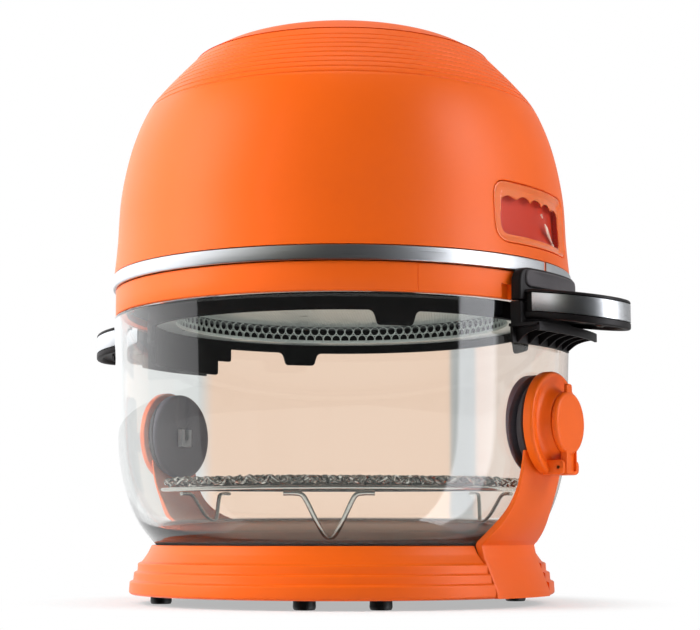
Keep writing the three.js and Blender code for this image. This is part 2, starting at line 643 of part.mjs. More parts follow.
// A flat pointer with an arrow head, on a short shaft through the face.
function needle() {
  const pointer = polygon([
    [-0.9, -1.4], [0.9, -1.4], [0.5, NEEDLE_LENGTH - 7], [2, NEEDLE_LENGTH - 7.5], [0.3, NEEDLE_LENGTH],
    [-0.3, NEEDLE_LENGTH], [-2, NEEDLE_LENGTH - 7.5], [-0.5, NEEDLE_LENGTH - 7],
  ]);
  const blade = new THREE.ExtrudeGeometry(pointer, { depth: 0.5, bevelEnabled: false })
    .rotateX(Math.PI / 2).rotateY(degrees(-NEEDLE_LEAN)).translate(0, -NEEDLE_PLANE + 0.5, NEEDLE_HEIGHT);
  const hub = barrel(1.8, [NEEDLE_PLANE - 0.5, NEEDLE_PLANE], 0, NEEDLE_HEIGHT, 16);
  const shaft = barrel(0.9, [124.5, NEEDLE_PLANE - 0.2], 0, NEEDLE_HEIGHT, 12);
  return join(blade, hub, shaft).rotateZ(degrees(NEEDLE_AZIMUTH));
}

// The exhaust: a panel flush with the dome, with level slots.
function rearVent() {
  const panel = common(domeLayer(0.2, 3.2), frontBlock(windowShape(vent, GAP), [100, 140]));
  const slots = [0, 1, 2, 3].map((n) => {
    const z = vent.bottom + 5.6 + 6 * n;
    return box([-32, 32], [-140, -100], [z, z + 2.6]);
  });
  return cut(panel, ...slots);
}

// The power inlet: a box set into the dome, open to the back with its contact core inside.
function powerInlet() {
  const body = frontBlock(windowShape(inlet, GAP), [116, 132.4]);
  const well = frontBlock(roundedRectangle([-12.5, 12.5], [inlet.bottom + 3, inlet.top - 3], 2), [119, 140]);
  const core = frontBlock(roundedRectangle([-9, 9], [inlet.bottom + 6.2, inlet.top - 6.2], 1.5), [118, 126]);
  return join(cut(body, well), core);
}

add('display_bezel', displayBezel(), 'peach');
add('display_face', displayFace(), 'darkRed');
add('display_lens', displayLens(), 'glass');
add('needle', needle(), 'white');
add('rear_vent', rearVent(), 'orange', 180);
add('power_inlet', powerInlet(), 'black', 180);

// ---------------------------------------------------------------- handles
const BLOCK_INNER = 135.4;
const BLOCK_OUTER = 141;
const SPRING_HOLE = 3.2;

// The paddle in plan: straight sides from the block and a round end, drawn toward the front.
function paddleShape(inset) {
  const w = PADDLE_HALF_WIDTH - inset;
  const shape = new THREE.Shape();
  shape.moveTo(-w, 126);
  shape.lineTo(-w, PADDLE_REACH - PADDLE_HALF_WIDTH);
  shape.absarc(0, PADDLE_REACH - PADDLE_HALF_WIDTH, w, Math.PI, 0, true);
  shape.lineTo(w, 126);
  return shape;
}

const innerSpace = (reach, top = 200) => post(reach, [130, top], 0, 0, FINE);
const padShape = (grown) => roundedRectangle(
  [-PAD_HALF_WIDTH - grown, PAD_HALF_WIDTH + grown],
  [PAD_HEIGHT - PAD_HALF_HEIGHT - grown, PAD_HEIGHT + PAD_HALF_HEIGHT + grown],
  PAD_HALF_HEIGHT + grown - 0.1,
);

// The upper half: a block curved along the ring, and the flat paddle that the hand holds.
function handleUpper() {
  const w = HANDLE_HALF_WIDTH;
  const face = new THREE.Shape();
  face.moveTo(-w, PARTING_HEIGHT + 0.2);
  face.lineTo(w, PARTING_HEIGHT + 0.2);
  face.lineTo(w, HANDLE_TOP - 11);
  face.absarc(w - 11, HANDLE_TOP - 11, 11, 0, Math.PI / 2);
  face.lineTo(-w + 11, HANDLE_TOP);
  face.absarc(-w + 11, HANDLE_TOP - 11, 11, Math.PI / 2, Math.PI);
  const block = common(ringWall([BLOCK_INNER, BLOCK_OUTER], [150, 190], FINE), frontBlock(face, [100, 145]));
  const boss = common(
    ringWall([RING_RADIUS + GAP, BLOCK_INNER + 1], [166, 179.4], FINE),
    frontBlock(roundedRectangle([-28, 28], [166, 179.4], 2), [100, 145]),
  );
  const paddle = cut(
    planBlock(paddleShape(0), [PADDLE_BOTTOM, PADDLE_TOP]),
    innerSpace(BLOCK_OUTER + 0.2, PARTING_HEIGHT + 0.2),
    innerSpace(BLOCK_INNER + 0.2),
  );
  const groove = cut(
    planBlock(paddleShape(-5), [TRIM_BOTTOM - 0.3, TRIM_TOP + 0.3]),
    planBlock(paddleShape(TRIM_THICKNESS + GAP), [TRIM_BOTTOM - 2, TRIM_TOP + 2]),
    innerSpace(TRIM_START - GAP),
  );
  const padPocket = common(
    ringWall([136.9, 150], [160, 190], FINE),
    frontBlock(padShape(GAP), [120, 150]),
  );
  const springHole = barrel(SPRING_HOLE, [130, 145], 0, PAD_HEIGHT, 12);
  return cut(join(block, boss, paddle), groove, padPocket, springHole);
}

// The lower half: the block below the parting line, with a flared lip under the paddle's root: a shelf with
// a rail along its edge, carried by hollow-curved ribs.
function handleLower() {
  const w = HANDLE_HALF_WIDTH;
  const front = frontBlock(roundedRectangle([-w, w], [HANDLE_BOTTOM, PARTING_HEIGHT - 0.2], 2), [100, 155]);
  const lipFront = box([-LIP_HALF_WIDTH, LIP_HALF_WIDTH], [-158, -100], [HANDLE_BOTTOM, PADDLE_BOTTOM]);
  const block = ringWall([134.7, BLOCK_OUTER - 0.2], [149.8, PARTING_HEIGHT - 0.2], FINE);
  const wall = ringWall([134.7, 136.3], [HANDLE_BOTTOM, 150], FINE);
  const shelfTop = PADDLE_BOTTOM - GAP;
  const shelf = turned([
    [135, 149.2], [LIP_REACH - 1.8, 149.2], [LIP_REACH - 1.8, 146.2], [LIP_REACH, 146.2],
    [LIP_REACH, shelfTop], [135, shelfTop],
  ], FINE);
  const web = polygon([
    [135.6, 141.3], [136.8, 141.3], [138.2, 142.7], [141, 144.8], [144.6, 146.2], [148.4, 147],
    [151.6, 147.3], [151.6, 149.6], [135.6, 149.6],
  ]);
  const rib = new THREE.ExtrudeGeometry(web, { depth: 1.4, bevelEnabled: false })
    .rotateX(Math.PI / 2).rotateZ(-Math.PI / 2).translate(-0.7, 0, 0);
  const ribs = [-3, -2, -1, 0, 1, 2, 3].map((n) => rib.clone().rotateZ(degrees(4.2 * n)));
  return join(common(join(block, wall), front), common(shelf, lipFront), ...ribs);
}

// The bright band round the paddle's edge.
function handleTrim() {
  const band = cut(
    planBlock(paddleShape(0), [TRIM_BOTTOM, TRIM_TOP]),
    planBlock(paddleShape(TRIM_THICKNESS), [TRIM_BOTTOM - 2, TRIM_TOP + 2]),
  );
  return cut(band, innerSpace(TRIM_START));
}

function thumbPad() {
  return common(ringWall([138.8, 142.2], [160, 190], FINE), frontBlock(padShape(0), [130, 150]));
}

// A short coil of spring wire between the ring and the thumb pad.
function padSpring() {
  const turns = 3;
  const length = 4.4;
  const wire = 0.35;
  const points = Array.from({ length: 8 * turns + 1 }, (_, i) => {
    const angle = (2 * Math.PI * i) / 8;
    return [2.4 * Math.cos(angle), -(134 + (length * i) / (8 * turns)), PAD_HEIGHT + 2.4 * Math.sin(angle)];
  });
  return rod(wire, points, 10 * turns, 4);
}

[['front', 0], ['rear', 180]].forEach(([end, turn]) => {
  add(`${end}_handle`, handleUpper(), 'black', turn);
  add(`${end}_handle_lip`, handleLower(), 'black', turn);
  add(`${end}_handle_trim`, handleTrim(), 'brushed', turn);
  add(`${end}_thumb_pad`, thumbPad(), 'darkGrey', turn);
  add(`${end}_pad_spring`, padSpring(), 'steel', turn);
});

export default fryer;
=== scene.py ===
"""Finished surfaces, materials and stage of a countertop hot-air deep fryer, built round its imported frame."""

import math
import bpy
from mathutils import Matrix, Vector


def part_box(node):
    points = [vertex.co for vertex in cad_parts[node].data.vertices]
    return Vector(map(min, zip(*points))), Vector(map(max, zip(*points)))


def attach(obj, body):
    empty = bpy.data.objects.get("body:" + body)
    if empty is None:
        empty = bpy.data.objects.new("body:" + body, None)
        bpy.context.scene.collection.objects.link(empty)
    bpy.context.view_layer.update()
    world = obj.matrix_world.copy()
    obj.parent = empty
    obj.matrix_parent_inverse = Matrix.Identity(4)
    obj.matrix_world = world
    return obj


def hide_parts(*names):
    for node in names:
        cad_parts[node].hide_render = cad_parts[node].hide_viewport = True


bl_info = {
    "name": "Glass Bowl Deep Fryer",
    "version": (1, 0, 0),
    "blender": (4, 5, 0),
    "location": "3D View > Sidebar > Fryer",
    "description": "Builds the shells, bowl, rack, handles and display of a hot-air deep fryer",
    "category": "Add Mesh",
}

import bmesh
import bpy
import numpy as np
from bpy.props import FloatProperty, FloatVectorProperty, PointerProperty
from bpy.types import Operator, Panel, PropertyGroup
from mathutils import Vector

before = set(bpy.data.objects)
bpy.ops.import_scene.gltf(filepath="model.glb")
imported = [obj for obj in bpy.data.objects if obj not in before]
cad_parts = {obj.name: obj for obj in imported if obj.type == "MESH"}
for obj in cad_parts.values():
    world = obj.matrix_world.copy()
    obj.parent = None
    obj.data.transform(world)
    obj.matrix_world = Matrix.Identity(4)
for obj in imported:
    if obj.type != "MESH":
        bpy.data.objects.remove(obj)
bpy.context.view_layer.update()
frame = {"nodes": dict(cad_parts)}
MM = 0.001


def extent(node, axis):
    """The lowest and highest coordinate of a CAD node along x, y or z, in millimetres."""
    low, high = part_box(node)
    return low["xyz".index(axis)] / MM, high["xyz".index(axis)] / MM


# ---------------------------------------------------------------- sizes, in millimetres
BAND_RADIUS = extent("trim_band", "x")[1]
BAND_LOW, BAND_HIGH = extent("trim_band", "z")
RING_LOW = extent("lower_ring", "z")[0]
RING_RADIUS = extent("lower_ring", "x")[1]
DOME_LOW = extent("dome_shell", "z")[0]
DOME_WALL = 3.0
RIBS_LOW, RIBS_HIGH = 284, 317
BOWL_TOP = extent("glass_bowl", "z")[1]
BASE_LOW, BASE_HIGH = extent("base_shell", "z")
SPIT_HEIGHT = sum(extent("front_holder_disc", "z")) / 2
PANEL_HALF_WIDTH = extent("front_arm", "x")[1]
SLOT_HALF_WIDTH = PANEL_HALF_WIDTH + 0.6
ARM_HALF_WIDTH = 22.0
ARM_WALL = 4.2
ARM_GAP = 0.6
NECK_TOP = 84.0
HEAD_RADIUS = 28.5
PIN_HEIGHT = sum(extent("cap_hinge_pin", "z")) / 2
PIN_REACH = -sum(extent("cap_hinge_pin", "y")) / 2
PIN_HALF_LENGTH = extent("cap_hinge_pin", "x")[1]
CAP_FACE = -extent("drive_cap", "y")[0]
TONGUE_LOW = extent("drive_cap", "z")[0]
TONGUE_HALF_WIDTH = 6.3
RACK_HEIGHT = sum(extent("rack_rim", "z")) / 2
ROD_RADIUS = (extent("rack_rim", "z")[1] - extent("rack_rim", "z")[0]) / 2
RACK_RADIUS = extent("rack_rim", "x")[1] - ROD_RADIUS
LINER_RADIUS = 114.6
LINER_WALL = 2.6
LINER_LOW, TAB_LOW, BLOCK_LOW = 157, 149, 140
GUARD_RADIUS = 98.0
GUARD_HIGH = extent("guard_mesh", "z")[1]
GUARD_LOW = extent("guard_mesh", "z")[0]
HANDLE_HALF_WIDTH = extent("front_handle", "x")[1]
HANDLE_HIGH = extent("front_handle", "z")[1]
LIP_LOW = extent("front_handle_lip", "z")[0]
LIP_REACH = -extent("front_handle_lip", "y")[0]
LIP_HALF_WIDTH = extent("front_handle_lip", "x")[1]
PARTING = 163.6
WEB_STEP = 4.2
NEEDLE_AZIMUTH = 14
NEEDLE_HEIGHT = 201.8
PADDLE_REACH = -extent("front_handle", "y")[0]
PADDLE_LOW = extent("front_handle", "z")[0]
PADDLE_HALF_WIDTH = 30.0
TRIM_LOW, TRIM_HIGH = extent("front_handle_trim", "z")
TRIM_START = 145.1
PAD_LOW, PAD_HIGH = extent("front_thumb_pad", "z")
PAD_HEIGHT = (PAD_LOW + PAD_HIGH) / 2
PAD_HALF_HEIGHT = (PAD_HIGH - PAD_LOW) / 2
PAD_HALF_WIDTH = extent("front_thumb_pad", "x")[1]

# Outlines, as (radius, height).
BOWL_OUTER = [
    (134, 164.4), (132.9, 139.6), (131.1, 97), (127.6, 70.4), (119.5, 48.4), (108.3, 33.8), (98, 28.2),
    (88, 27),
]
BOWL_INNER = [
    (130, 164.4), (128.9, 139.6), (127.1, 97), (123.4, 70.4), (115, 50), (104, 38.6), (92, 34), (82, 33),
]
DOME_OUTER = [
    (134.3, 188.9), (132.6, 208), (131, 235), (125.6, 262), (117.1, 284), (106.9, 298), (88.6, 317.6),
]
CAP_OUTER = [(88.6, 318), (73.7, 326), (54.1, 332), (33.6, 336), (12.9, 339), (0, 340.5)]
SKIRT_OUTER = [
    (121.5, 5.2), (123, 6.3), (122.7, 12.6), (120.6, 13.4), (120.3, 17.8), (118.3, 18.6), (118.1, 23),
    (115.9, 23.8), (112.6, 28.5), (110.3, 33.2), (108.9, 33.2), (110.8, 27.5), (113.2, 22.5), (115.3, 17),
    (118.5, 9), (118.5, 5.2),
]


QUARTER = np.radians(np.linspace(0, 90, 5))


# ---------------------------------------------------------------- curves and outlines
def spline(points, count):
    """A Catmull-Rom curve: between two points, the cubic whose slope at each is half its neighbours' step."""
    p = np.array(points, float)
    t = np.linspace(0, len(p) - 1, count + 1)
    i = np.minimum(t.astype(int), len(p) - 2)
    f = (t - i)[:, None]
    a, b, c, d = (p[np.clip(i + k, 0, len(p) - 1)] for k in (-1, 0, 1, 2))
    return b + 0.5 * ((c - a) * f + (2 * a - 5 * b + 4 * c - d) * f**2 + (3 * b - a - 3 * c + d) * f**3)


def rounded(corners, radius, steps=5):
    """A closed polygon with soft corners: a parabola leaves and meets the sides a radius from each corner."""
    p = np.array(corners, float)
    before, after = np.roll(p, 1, 0) - p, np.roll(p, -1, 0) - p
    lengths = [np.linalg.norm(side, axis=1, keepdims=True) for side in (before, after)]
    cut = np.minimum(np.reshape(radius, (-1, 1)) * np.ones((len(p), 1)), 0.49 * np.minimum(*lengths))
    start, end = p + before / lengths[0] * cut, p + after / lengths[1] * cut
    t = np.linspace(0, 1, steps)[None, :, None]
    curve = (1 - t) ** 2 * start[:, None] + 2 * t * (1 - t) * p[:, None] + t**2 * end[:, None]
    return curve.reshape(-1, 2)


def resample(outline, count):
    """A closed outline with its points spread evenly along its length."""
    p = np.vstack([outline, outline[:1]])
    length = np.append(0, np.cumsum(np.linalg.norm(np.diff(p, axis=0), axis=1)))
    at = np.linspace(0, length[-1], count, endpoint=False)
    return np.stack([np.interp(at, length, p[:, k]) for k in (0, 1)], -1)


def soft_rectangle(x0, x1, z0, z1, corner, steps=5):
    """A rectangle with soft corners, drawn anticlockwise from its lower left."""
    return rounded([(x0, z0), (x1, z0), (x1, z1), (x0, z1)], corner, steps)


def rectangle(x0, x1, z0, z1, corner, count=160):
    """A rectangle with round corners and evenly spread points."""
    return resample(soft_rectangle(x0, x1, z0, z1, corner, 9), count)


def shrink(outline, distance):
    """Moves an anticlockwise outline inward, square to the line between each point's neighbours."""
    along = np.roll(outline, -1, 0) - np.roll(outline, 1, 0)
    along = along / (np.linalg.norm(along, axis=1, keepdims=True) + 1e-9)
    return outline + distance * np.stack([-along[:, 1], along[:, 0]], -1)


def toward(outline, share, centre=None):
    """Draws an outline in toward its centre: share 1 is the outline and 0 is the centre."""
    middle = outline.mean(0) if centre is None else np.array(centre, float)
    return middle + share * (outline - middle)


def turn_matrix(degrees):
    """Rows of points times this are turned backward round the upright axis."""
    a = math.radians(degrees)
    return np.array([[math.cos(a), math.sin(a), 0], [-math.sin(a), math.cos(a), 0], [0, 0, 1]])


def radius_at(outline, height):
    """The radius of an outline at a height, between its nearest points."""
    order = np.argsort(outline[:, 1])
    return np.interp(height, outline[order, 1], outline[order, 0])


# ---------------------------------------------------------------- surfaces as rows and columns of points
def grid(x, y, z, wrap=(False, False), capped=False):
    """Four-sided faces between rows and columns of points. wrap joins last to first; caps fill end rows."""
    x, y, z = np.broadcast_arrays(x, y, z)
    index = np.arange(x.size).reshape(x.shape)
    ends = [index[:1, ::-1], index[-1:]] if capped else []
    if wrap[0]:
        index = np.vstack([index, index[:1]])
    if wrap[1]:
        index = np.hstack([index, index[:, :1]])
    cells = np.stack([index[:-1, :-1], index[1:, :-1], index[1:, 1:], index[:-1, 1:]], -1)
    return np.stack([x, y, z], -1).reshape(-1, 3), [cells.reshape(-1, 4), *ends]


def turned(profile, sides=180, start=0.0, stop=360.0, closed=True):
    """A profile of radius r and height h carried round the upright axis: x = r cos a, y = r sin a, z = h."""
    full = stop - start >= 360
    a = np.radians(np.linspace(start, stop, sides + 1 - full, endpoint=not full))[:, None]
    r, h = np.array(profile, float).T
    return grid(r * np.cos(a), r * np.sin(a), h + 0 * a, wrap=(full, closed), capped=not full)


def about_spit(profile, sides=96, closed=True, x=0.0, height=None):
    """A profile of radius and reach turned about a level axis that points at the front."""
    a = np.linspace(0, 2 * np.pi, sides, endpoint=False)[:, None]
    r, s = np.array(profile, float).T
    z = (SPIT_HEIGHT if height is None else height) + r * np.sin(a)
    return grid(x + r * np.cos(a), -s + 0 * a, z, wrap=(True, closed))


def across(profile, reach, height, sides=32):
    """A profile of radius and x turned about a level axis that runs from side to side."""
    a = np.linspace(0, 2 * np.pi, sides, endpoint=False)[:, None]
    r, x = np.array(profile, float).T
    return grid(x + 0 * a, -reach + r * np.cos(a), height + r * np.sin(a), wrap=(True, True))


def tube(path, radius, up, sides=10, closed=False):
    """A round wire: circles square to the path, laid out from the direction up."""
    p = np.array(path, float)
    along = np.roll(p, -1, 0) - np.roll(p, 1, 0) if closed else np.gradient(p, axis=0)
    along = along / np.linalg.norm(along, axis=1, keepdims=True)
    side = np.cross(np.array(up, float), along)
    side = side / np.linalg.norm(side, axis=1, keepdims=True)
    over = np.cross(along, side)
    a = np.linspace(0, 2 * np.pi, sides, endpoint=False)[None, :, None]
    ring = p[:, None] + radius * (np.cos(a) * side[:, None] + np.sin(a) * over[:, None])
    return grid(*np.moveaxis(ring, -1, 0), wrap=(closed, True), capped=not closed)


def layers(rings, place, ring_shaped=False):
    """A solid of closed outlines laid one after another; place turns their x, z and depth into points."""
    outline = np.array([points for points, _ in rings])
    depth = np.array([[level] for _, level in rings])
    return grid(*place(outline[..., 0], outline[..., 1], depth), wrap=(ring_shaped, True))


def slab(outline, back, front, edge, place, centre=None, fill=7, rise=0.0):
    """A plate between two depths with quarter-round edges; its front may rise toward the middle."""
    step = edge if front > back else -edge
    inner = shrink(outline, edge)
    shares = np.linspace(0, 1, fill)
    rings = [(toward(inner, share, centre), back) for share in shares]
    rings += [(shrink(outline, edge * (1 - np.sin(q))), back + step * (1 - np.cos(q))) for q in QUARTER[1:]]
    rings += [(shrink(outline, edge * (1 - np.cos(q))), front - step * (1 - np.sin(q))) for q in QUARTER]
    rings += [(toward(inner, share, centre), front + rise * (1 - share**2)) for share in shares[::-1]]
    return layers(rings, place)


def matched(outline, guide):
    """The outline's points at the headings of a guide's points, each heading seen from its own middle."""
    seen = []
    for points in (guide, outline):
        low, high = points.min(0), points.max(0)
        seen.append(np.arctan2(*((points - (low + high) / 2) / (high - low)).T[::-1]))
    return np.stack([np.interp(seen[0], seen[1], outline[:, k], period=2 * np.pi) for k in (0, 1)], -1)


def holed(columns, rows, holes, place, wall, soft=0.7):
    """A sheet of columns and rows with a wall's thickness and holes through it. A hole grown by g is hole(g).
    Cells round it give way to rings that run from that patch's edge over a quarter-round and through."""
    over, up = np.meshgrid(columns, rows)
    index = np.arange(over.size).reshape(over.shape)
    keep = np.ones((len(rows) - 1, len(columns) - 1), bool)
    turn = np.radians(np.linspace(0, 90, 4))
    parts = []
    for hole in holes:
        edge = hole(soft)
        (c0, c1), (r0, r1) = (
            np.searchsorted(lines, (edge[:, k].min(), edge[:, k].max())) + (-2, 1)
            for k, lines in enumerate((columns, rows))
        )
        keep[r0:r1, c0:c1] = False
        border = np.concatenate([
            index[r0, c0:c1], index[r0:r1, c1], index[r1, c1:c0:-1], index[r1:r0:-1, c0],
        ])
        patch = np.stack([over.flat[border], up.flat[border]], -1)
        ring = matched(edge, patch)
        rings = [(patch + (ring - patch) * t, 0) for t in (0, 0.35, 0.7)]
        rings += [(matched(hole(soft * (1 - np.sin(q))), patch), soft * (1 - np.cos(q))) for q in turn]
        rings += [(matched(hole(0), patch), wall), (patch, wall)]
        parts.append(layers(rings, place))
    cells = np.stack([index[:-1, :-1], index[1:, :-1], index[1:, 1:], index[:-1, 1:]], -1)[keep]
    for level in (0, wall):
        parts.append((np.stack(place(over, up, level), -1).reshape(-1, 3), [cells]))
    for k in (0, -1):
        parts.append(grid(*place(over[k:][:1], up[k:][:1], np.array([[0], [wall]]))))
    return parts


def honeycomb(columns, rows, pitch, hole, sides, depth, place, inside=None):
    """A sheet of round holes on a hexagon lattice. Each cell is rings of points in its own directions: the
    hexagon's border, the hole's edge, and the same edge pushed through by the sheet's depth."""
    i, j = np.meshgrid(np.arange(columns), np.arange(rows))
    u = ((i + 0.5 * (j % 2)) * pitch).ravel()
    v = (j * pitch * math.sqrt(0.75)).ravel()
    if inside is not None:
        keep = inside(u, v)
        u, v = u[keep], v[keep]
    a = np.radians(30) + np.linspace(0, 2 * np.pi, sides, endpoint=False)
    border = pitch / 2 / np.cos((a + np.pi / 6) % (np.pi / 3) - np.pi / 6)
    border = border if sides > 6 else np.full(sides, pitch / math.sqrt(3))
    reach = np.stack([border, np.full(sides, hole), np.full(sides, hole)])
    level = np.array([0, 0, depth])[:, None]
    x = u[:, None, None] + reach * np.cos(a)
    z = v[:, None, None] + reach * np.sin(a)
    points = np.stack(place(x, z, np.broadcast_to(level, x.shape)), -1).reshape(-1, 3)
    base = np.arange(len(u))[:, None, None] * 3 * sides
    ring = np.arange(2)[None, :, None] * sides + np.arange(sides)[None, None, :]
    after = np.arange(2)[None, :, None] * sides + (np.arange(sides) + 1)[None, None, :] % sides
    cells = np.stack([base + ring, base + after, base + after + sides, base + ring + sides], -1)
    return points, [cells.reshape(-1, 4)]


# ---------------------------------------------------------------- places: from flat outlines to x, y, z
def in_plan(x, y, z):
    """x to the right, y toward the front, z up."""
    return np.broadcast_arrays(x, -y, z)


def in_front(x, z, reach):
    """A flat piece that faces the front, a reach away from the upright axis."""
    return np.broadcast_arrays(x, -reach, z)


def from_side(y, z, x):
    """A flat piece that faces sideways."""
    return np.broadcast_arrays(x, y, z)


def on_wall(x, z, radius):
    """A piece wrapped on an upright cylinder: y = -sqrt(r r - x x)."""
    return np.broadcast_arrays(x, -np.sqrt(radius**2 - x**2), z)


def on_dome(x, z, depth):
    """A piece wrapped on the dome, a depth under its outer face."""
    return on_wall(x, z, radius_at(DOME_CURVE, z) - depth)


DOME_CURVE = spline(DOME_OUTER, 240)
NOTCH_AZIMUTH = -14.8
NOTCH_HALF_ANGLE = 1.6


# ---------------------------------------------------------------- finished objects
def piece(name, parts, material, body, replaces=(), turn=0, crease=32, wall=0.0, open_edge=False):
    """One mesh object from parts in millimetres: doubles merged, faces turned out, sharp only past the crease
    angle. It rides on a body, stands for its CAD nodes and may get a wall that grows inward."""
    points = np.vstack([part[0] for part in parts]) * MM
    starts = np.cumsum([0] + [len(part[0]) for part in parts])
    faces = []
    for (_, blocks), start in zip(parts, starts):
        for block in blocks:
            faces += (block + start).tolist()
    if turn:
        points = points @ turn_matrix(turn)
    mesh = bpy.data.meshes.new(name)
    mesh.from_pydata(points.tolist(), [], faces)
    work = bmesh.new()
    work.from_mesh(mesh)
    bmesh.ops.remove_doubles(work, verts=work.verts, dist=0.004 * MM)
    bmesh.ops.dissolve_degenerate(work, edges=work.edges, dist=0.001 * MM)
    bmesh.ops.recalc_face_normals(work, faces=work.faces)
    work.to_mesh(mesh)
    work.free()
    mesh.polygons.foreach_set("use_smooth", np.ones(len(mesh.polygons), bool))
    mesh.set_sharp_from_angle(angle=math.radians(crease))
    mesh.materials.append(material)
    made = bpy.data.objects.new(name, mesh)
    bpy.context.scene.collection.objects.link(made)
    if wall:
        solid = made.modifiers.new("Wall", "SOLIDIFY")
        solid.thickness = wall * MM
        solid.offset = -1
        solid.use_even_offset = not open_edge
    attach(made, body)
    if replaces:
        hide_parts(*replaces)
    return made


def paint(nodes, material):
    """Gives CAD nodes that stay as they are their finished material."""
    for name in nodes:
        slots = frame["nodes"][name].data.materials
        slots.clear()
        slots.append(material)


ENDS = (("front", 0), ("rear", 180))


# ---------------------------------------------------------------- materials
def linear(code):
    """An sRGB hex colour as linear red, green and blue."""
    values = [int(code[i:i + 2], 16) / 255 for i in (0, 2, 4)]
    return tuple(v / 12.92 if v <= 0.04045 else ((v + 0.055) / 1.055) ** 2.4 for v in values)


def add_node(tree, kind, sockets=None, **settings):
    """Adds a node. settings are its own properties; sockets fills its inputs with values or other outputs."""
    made = tree.nodes.new(kind)
    for key, value in settings.items():
        setattr(made, key, value)
    for key, value in (sockets or {}).items():
        if isinstance(value, bpy.types.NodeSocket):
            tree.links.new(value, made.inputs[key])
        else:
            made.inputs[key].default_value = value
    return made


def new_material(name, colour, **sockets):
    """A material with one surface shader, and its object coordinates."""
    made = bpy.data.materials.new(name)
    made.use_nodes = True
    tree = made.node_tree
    shader = tree.nodes["Principled BSDF"]
    shader.inputs["Base Color"].default_value = (*colour[:3], 1)
    for key, value in sockets.items():
        shader.inputs[key.replace("_", " ")].default_value = value
    place = add_node(tree, "ShaderNodeTexCoord").outputs["Object"]
    return made, tree, shader, place


def pattern_scale(size):
    """The scale of a noise pattern whose features are a size in millimetres: one feature a unit."""
    return 1 / (size * MM)


def grained(name, colour, grain, height, clouds, spread, **sockets):
    """A moulded surface: a fine bump of the tool's grain, and slow clouds in its gloss and colour."""
    made, tree, shader, place = new_material(name, colour, **sockets)
    fine, slow = (add_node(tree, "ShaderNodeTexNoise", {
        "Vector": place, "Scale": pattern_scale(size), "Detail": detail,
    }) for size, detail in ((grain, 2.0), (clouds, 3.0)))
    rough = shader.inputs["Roughness"].default_value
    gloss = add_node(tree, "ShaderNodeMapRange", {
        "Value": slow.outputs["Fac"], "From Min": 0.3, "From Max": 0.7,
        "To Min": rough * (1 - spread), "To Max": rough * (1 + spread),
    })
    tone = add_node(tree, "ShaderNodeMix", {
        "Factor": slow.outputs["Fac"], "A": (*(c * (1 - spread / 3) for c in colour[:3]), 1),
        "B": (*(min(1, c * (1 + spread / 3)) for c in colour[:3]), 1),
    }, data_type="RGBA")
    bump = add_node(tree, "ShaderNodeBump", {
        "Height": fine.outputs["Fac"], "Strength": 0.4, "Distance": height * MM,
    })
    tree.links.new(gloss.outputs["Result"], shader.inputs["Roughness"])
    tree.links.new(tone.outputs["Result"], shader.inputs["Base Color"])
    tree.links.new(bump.outputs["Normal"], shader.inputs["Normal"])
    return made


def gloss_abs(name, colour):
    """Injection-moulded ABS from a polished tool: even colour, a soft wide shine and a faint orange peel."""
    return grained(name, colour, 1.6, 0.012, 60, 0.08, Roughness=0.4, Specular_IOR_Level=0.26)


def textured_nylon(name, colour, rough=0.5, shine=0.5):
    """Glass-filled nylon from a spark-eroded tool: a fine matt grain that breaks up every highlight."""
    return grained(name, colour, 0.7, 0.03, 30, 0.12, Roughness=rough, Specular_IOR_Level=shine)


def soft_elastomer(name, colour):
    """Thermoplastic elastomer: a dry rubbery skin with wide, dim highlights."""
    return grained(name, colour, 0.9, 0.02, 20, 0.15, Roughness=0.62, IOR=1.5, Sheen_Weight=0.15,
                   Sheen_Roughness=0.5)


def moulded_silicone(name, colour):
    """Silicone rubber: matt and slightly cloudy, with dust-like grain."""
    return grained(name, colour, 0.5, 0.015, 15, 0.2, Roughness=0.55, IOR=1.41)


BRUSH_LINE = 0.25


def brushed_steel(name, colour, rough, level=True):
    """Stainless steel brushed along its length: hair-fine lines that stretch the highlights. They run round
    the upright axis where level is true, and along x where it isn't."""
    made, tree, shader, place = new_material(name, colour, Roughness=rough, Metallic=1.0, Anisotropic=0.3)
    apart = add_node(tree, "ShaderNodeSeparateXYZ", {"Vector": place})
    turn = add_node(tree, "ShaderNodeMath", {
        0: apart.outputs["Y"], 1: apart.outputs["X"],
    }, operation="ARCTAN2")
    along = turn.outputs[0] if level else apart.outputs["X"]
    sheet = add_node(tree, "ShaderNodeCombineXYZ", {
        "X": along, "Y": apart.outputs["Z"], "Z": 0.0 if level else apart.outputs["Y"],
    })
    squeezed = add_node(tree, "ShaderNodeMapping", {
        "Vector": sheet.outputs[0], "Scale": (3.0, pattern_scale(BRUSH_LINE), pattern_scale(BRUSH_LINE)),
    })
    lines = add_node(tree, "ShaderNodeTexNoise", {"Vector": squeezed.outputs[0], "Scale": 1.0, "Detail": 3.0})
    gloss = add_node(tree, "ShaderNodeMapRange", {
        "Value": lines.outputs["Fac"], "From Min": 0.3, "From Max": 0.7, "To Min": rough * 0.75,
        "To Max": rough * 1.3,
    })
    bump = add_node(tree, "ShaderNodeBump", {
        "Height": lines.outputs["Fac"], "Strength": 0.25, "Distance": 0.01 * MM,
    })
    tree.links.new(gloss.outputs["Result"], shader.inputs["Roughness"])
    tree.links.new(bump.outputs["Normal"], shader.inputs["Normal"])
    return made


def drawn_steel(name, colour, rough):
    """Steel wire or sheet as rolled or drawn: bright, with soft blotches of wear in its gloss."""
    return grained(name, colour, 2.5, 0.008, 9, 0.35, Roughness=rough, Metallic=1.0)


def pressed_aluminium(name, colour):
    """Pressed aluminium sheet: pale and satin. A faint glow stands for the light gathered under the head."""
    return grained(name, colour, 2.5, 0.008, 9, 0.35, Roughness=0.42, Metallic=1.0,
                   Emission_Color=(0.8, 0.85, 0.8, 1), Emission_Strength=0.09)


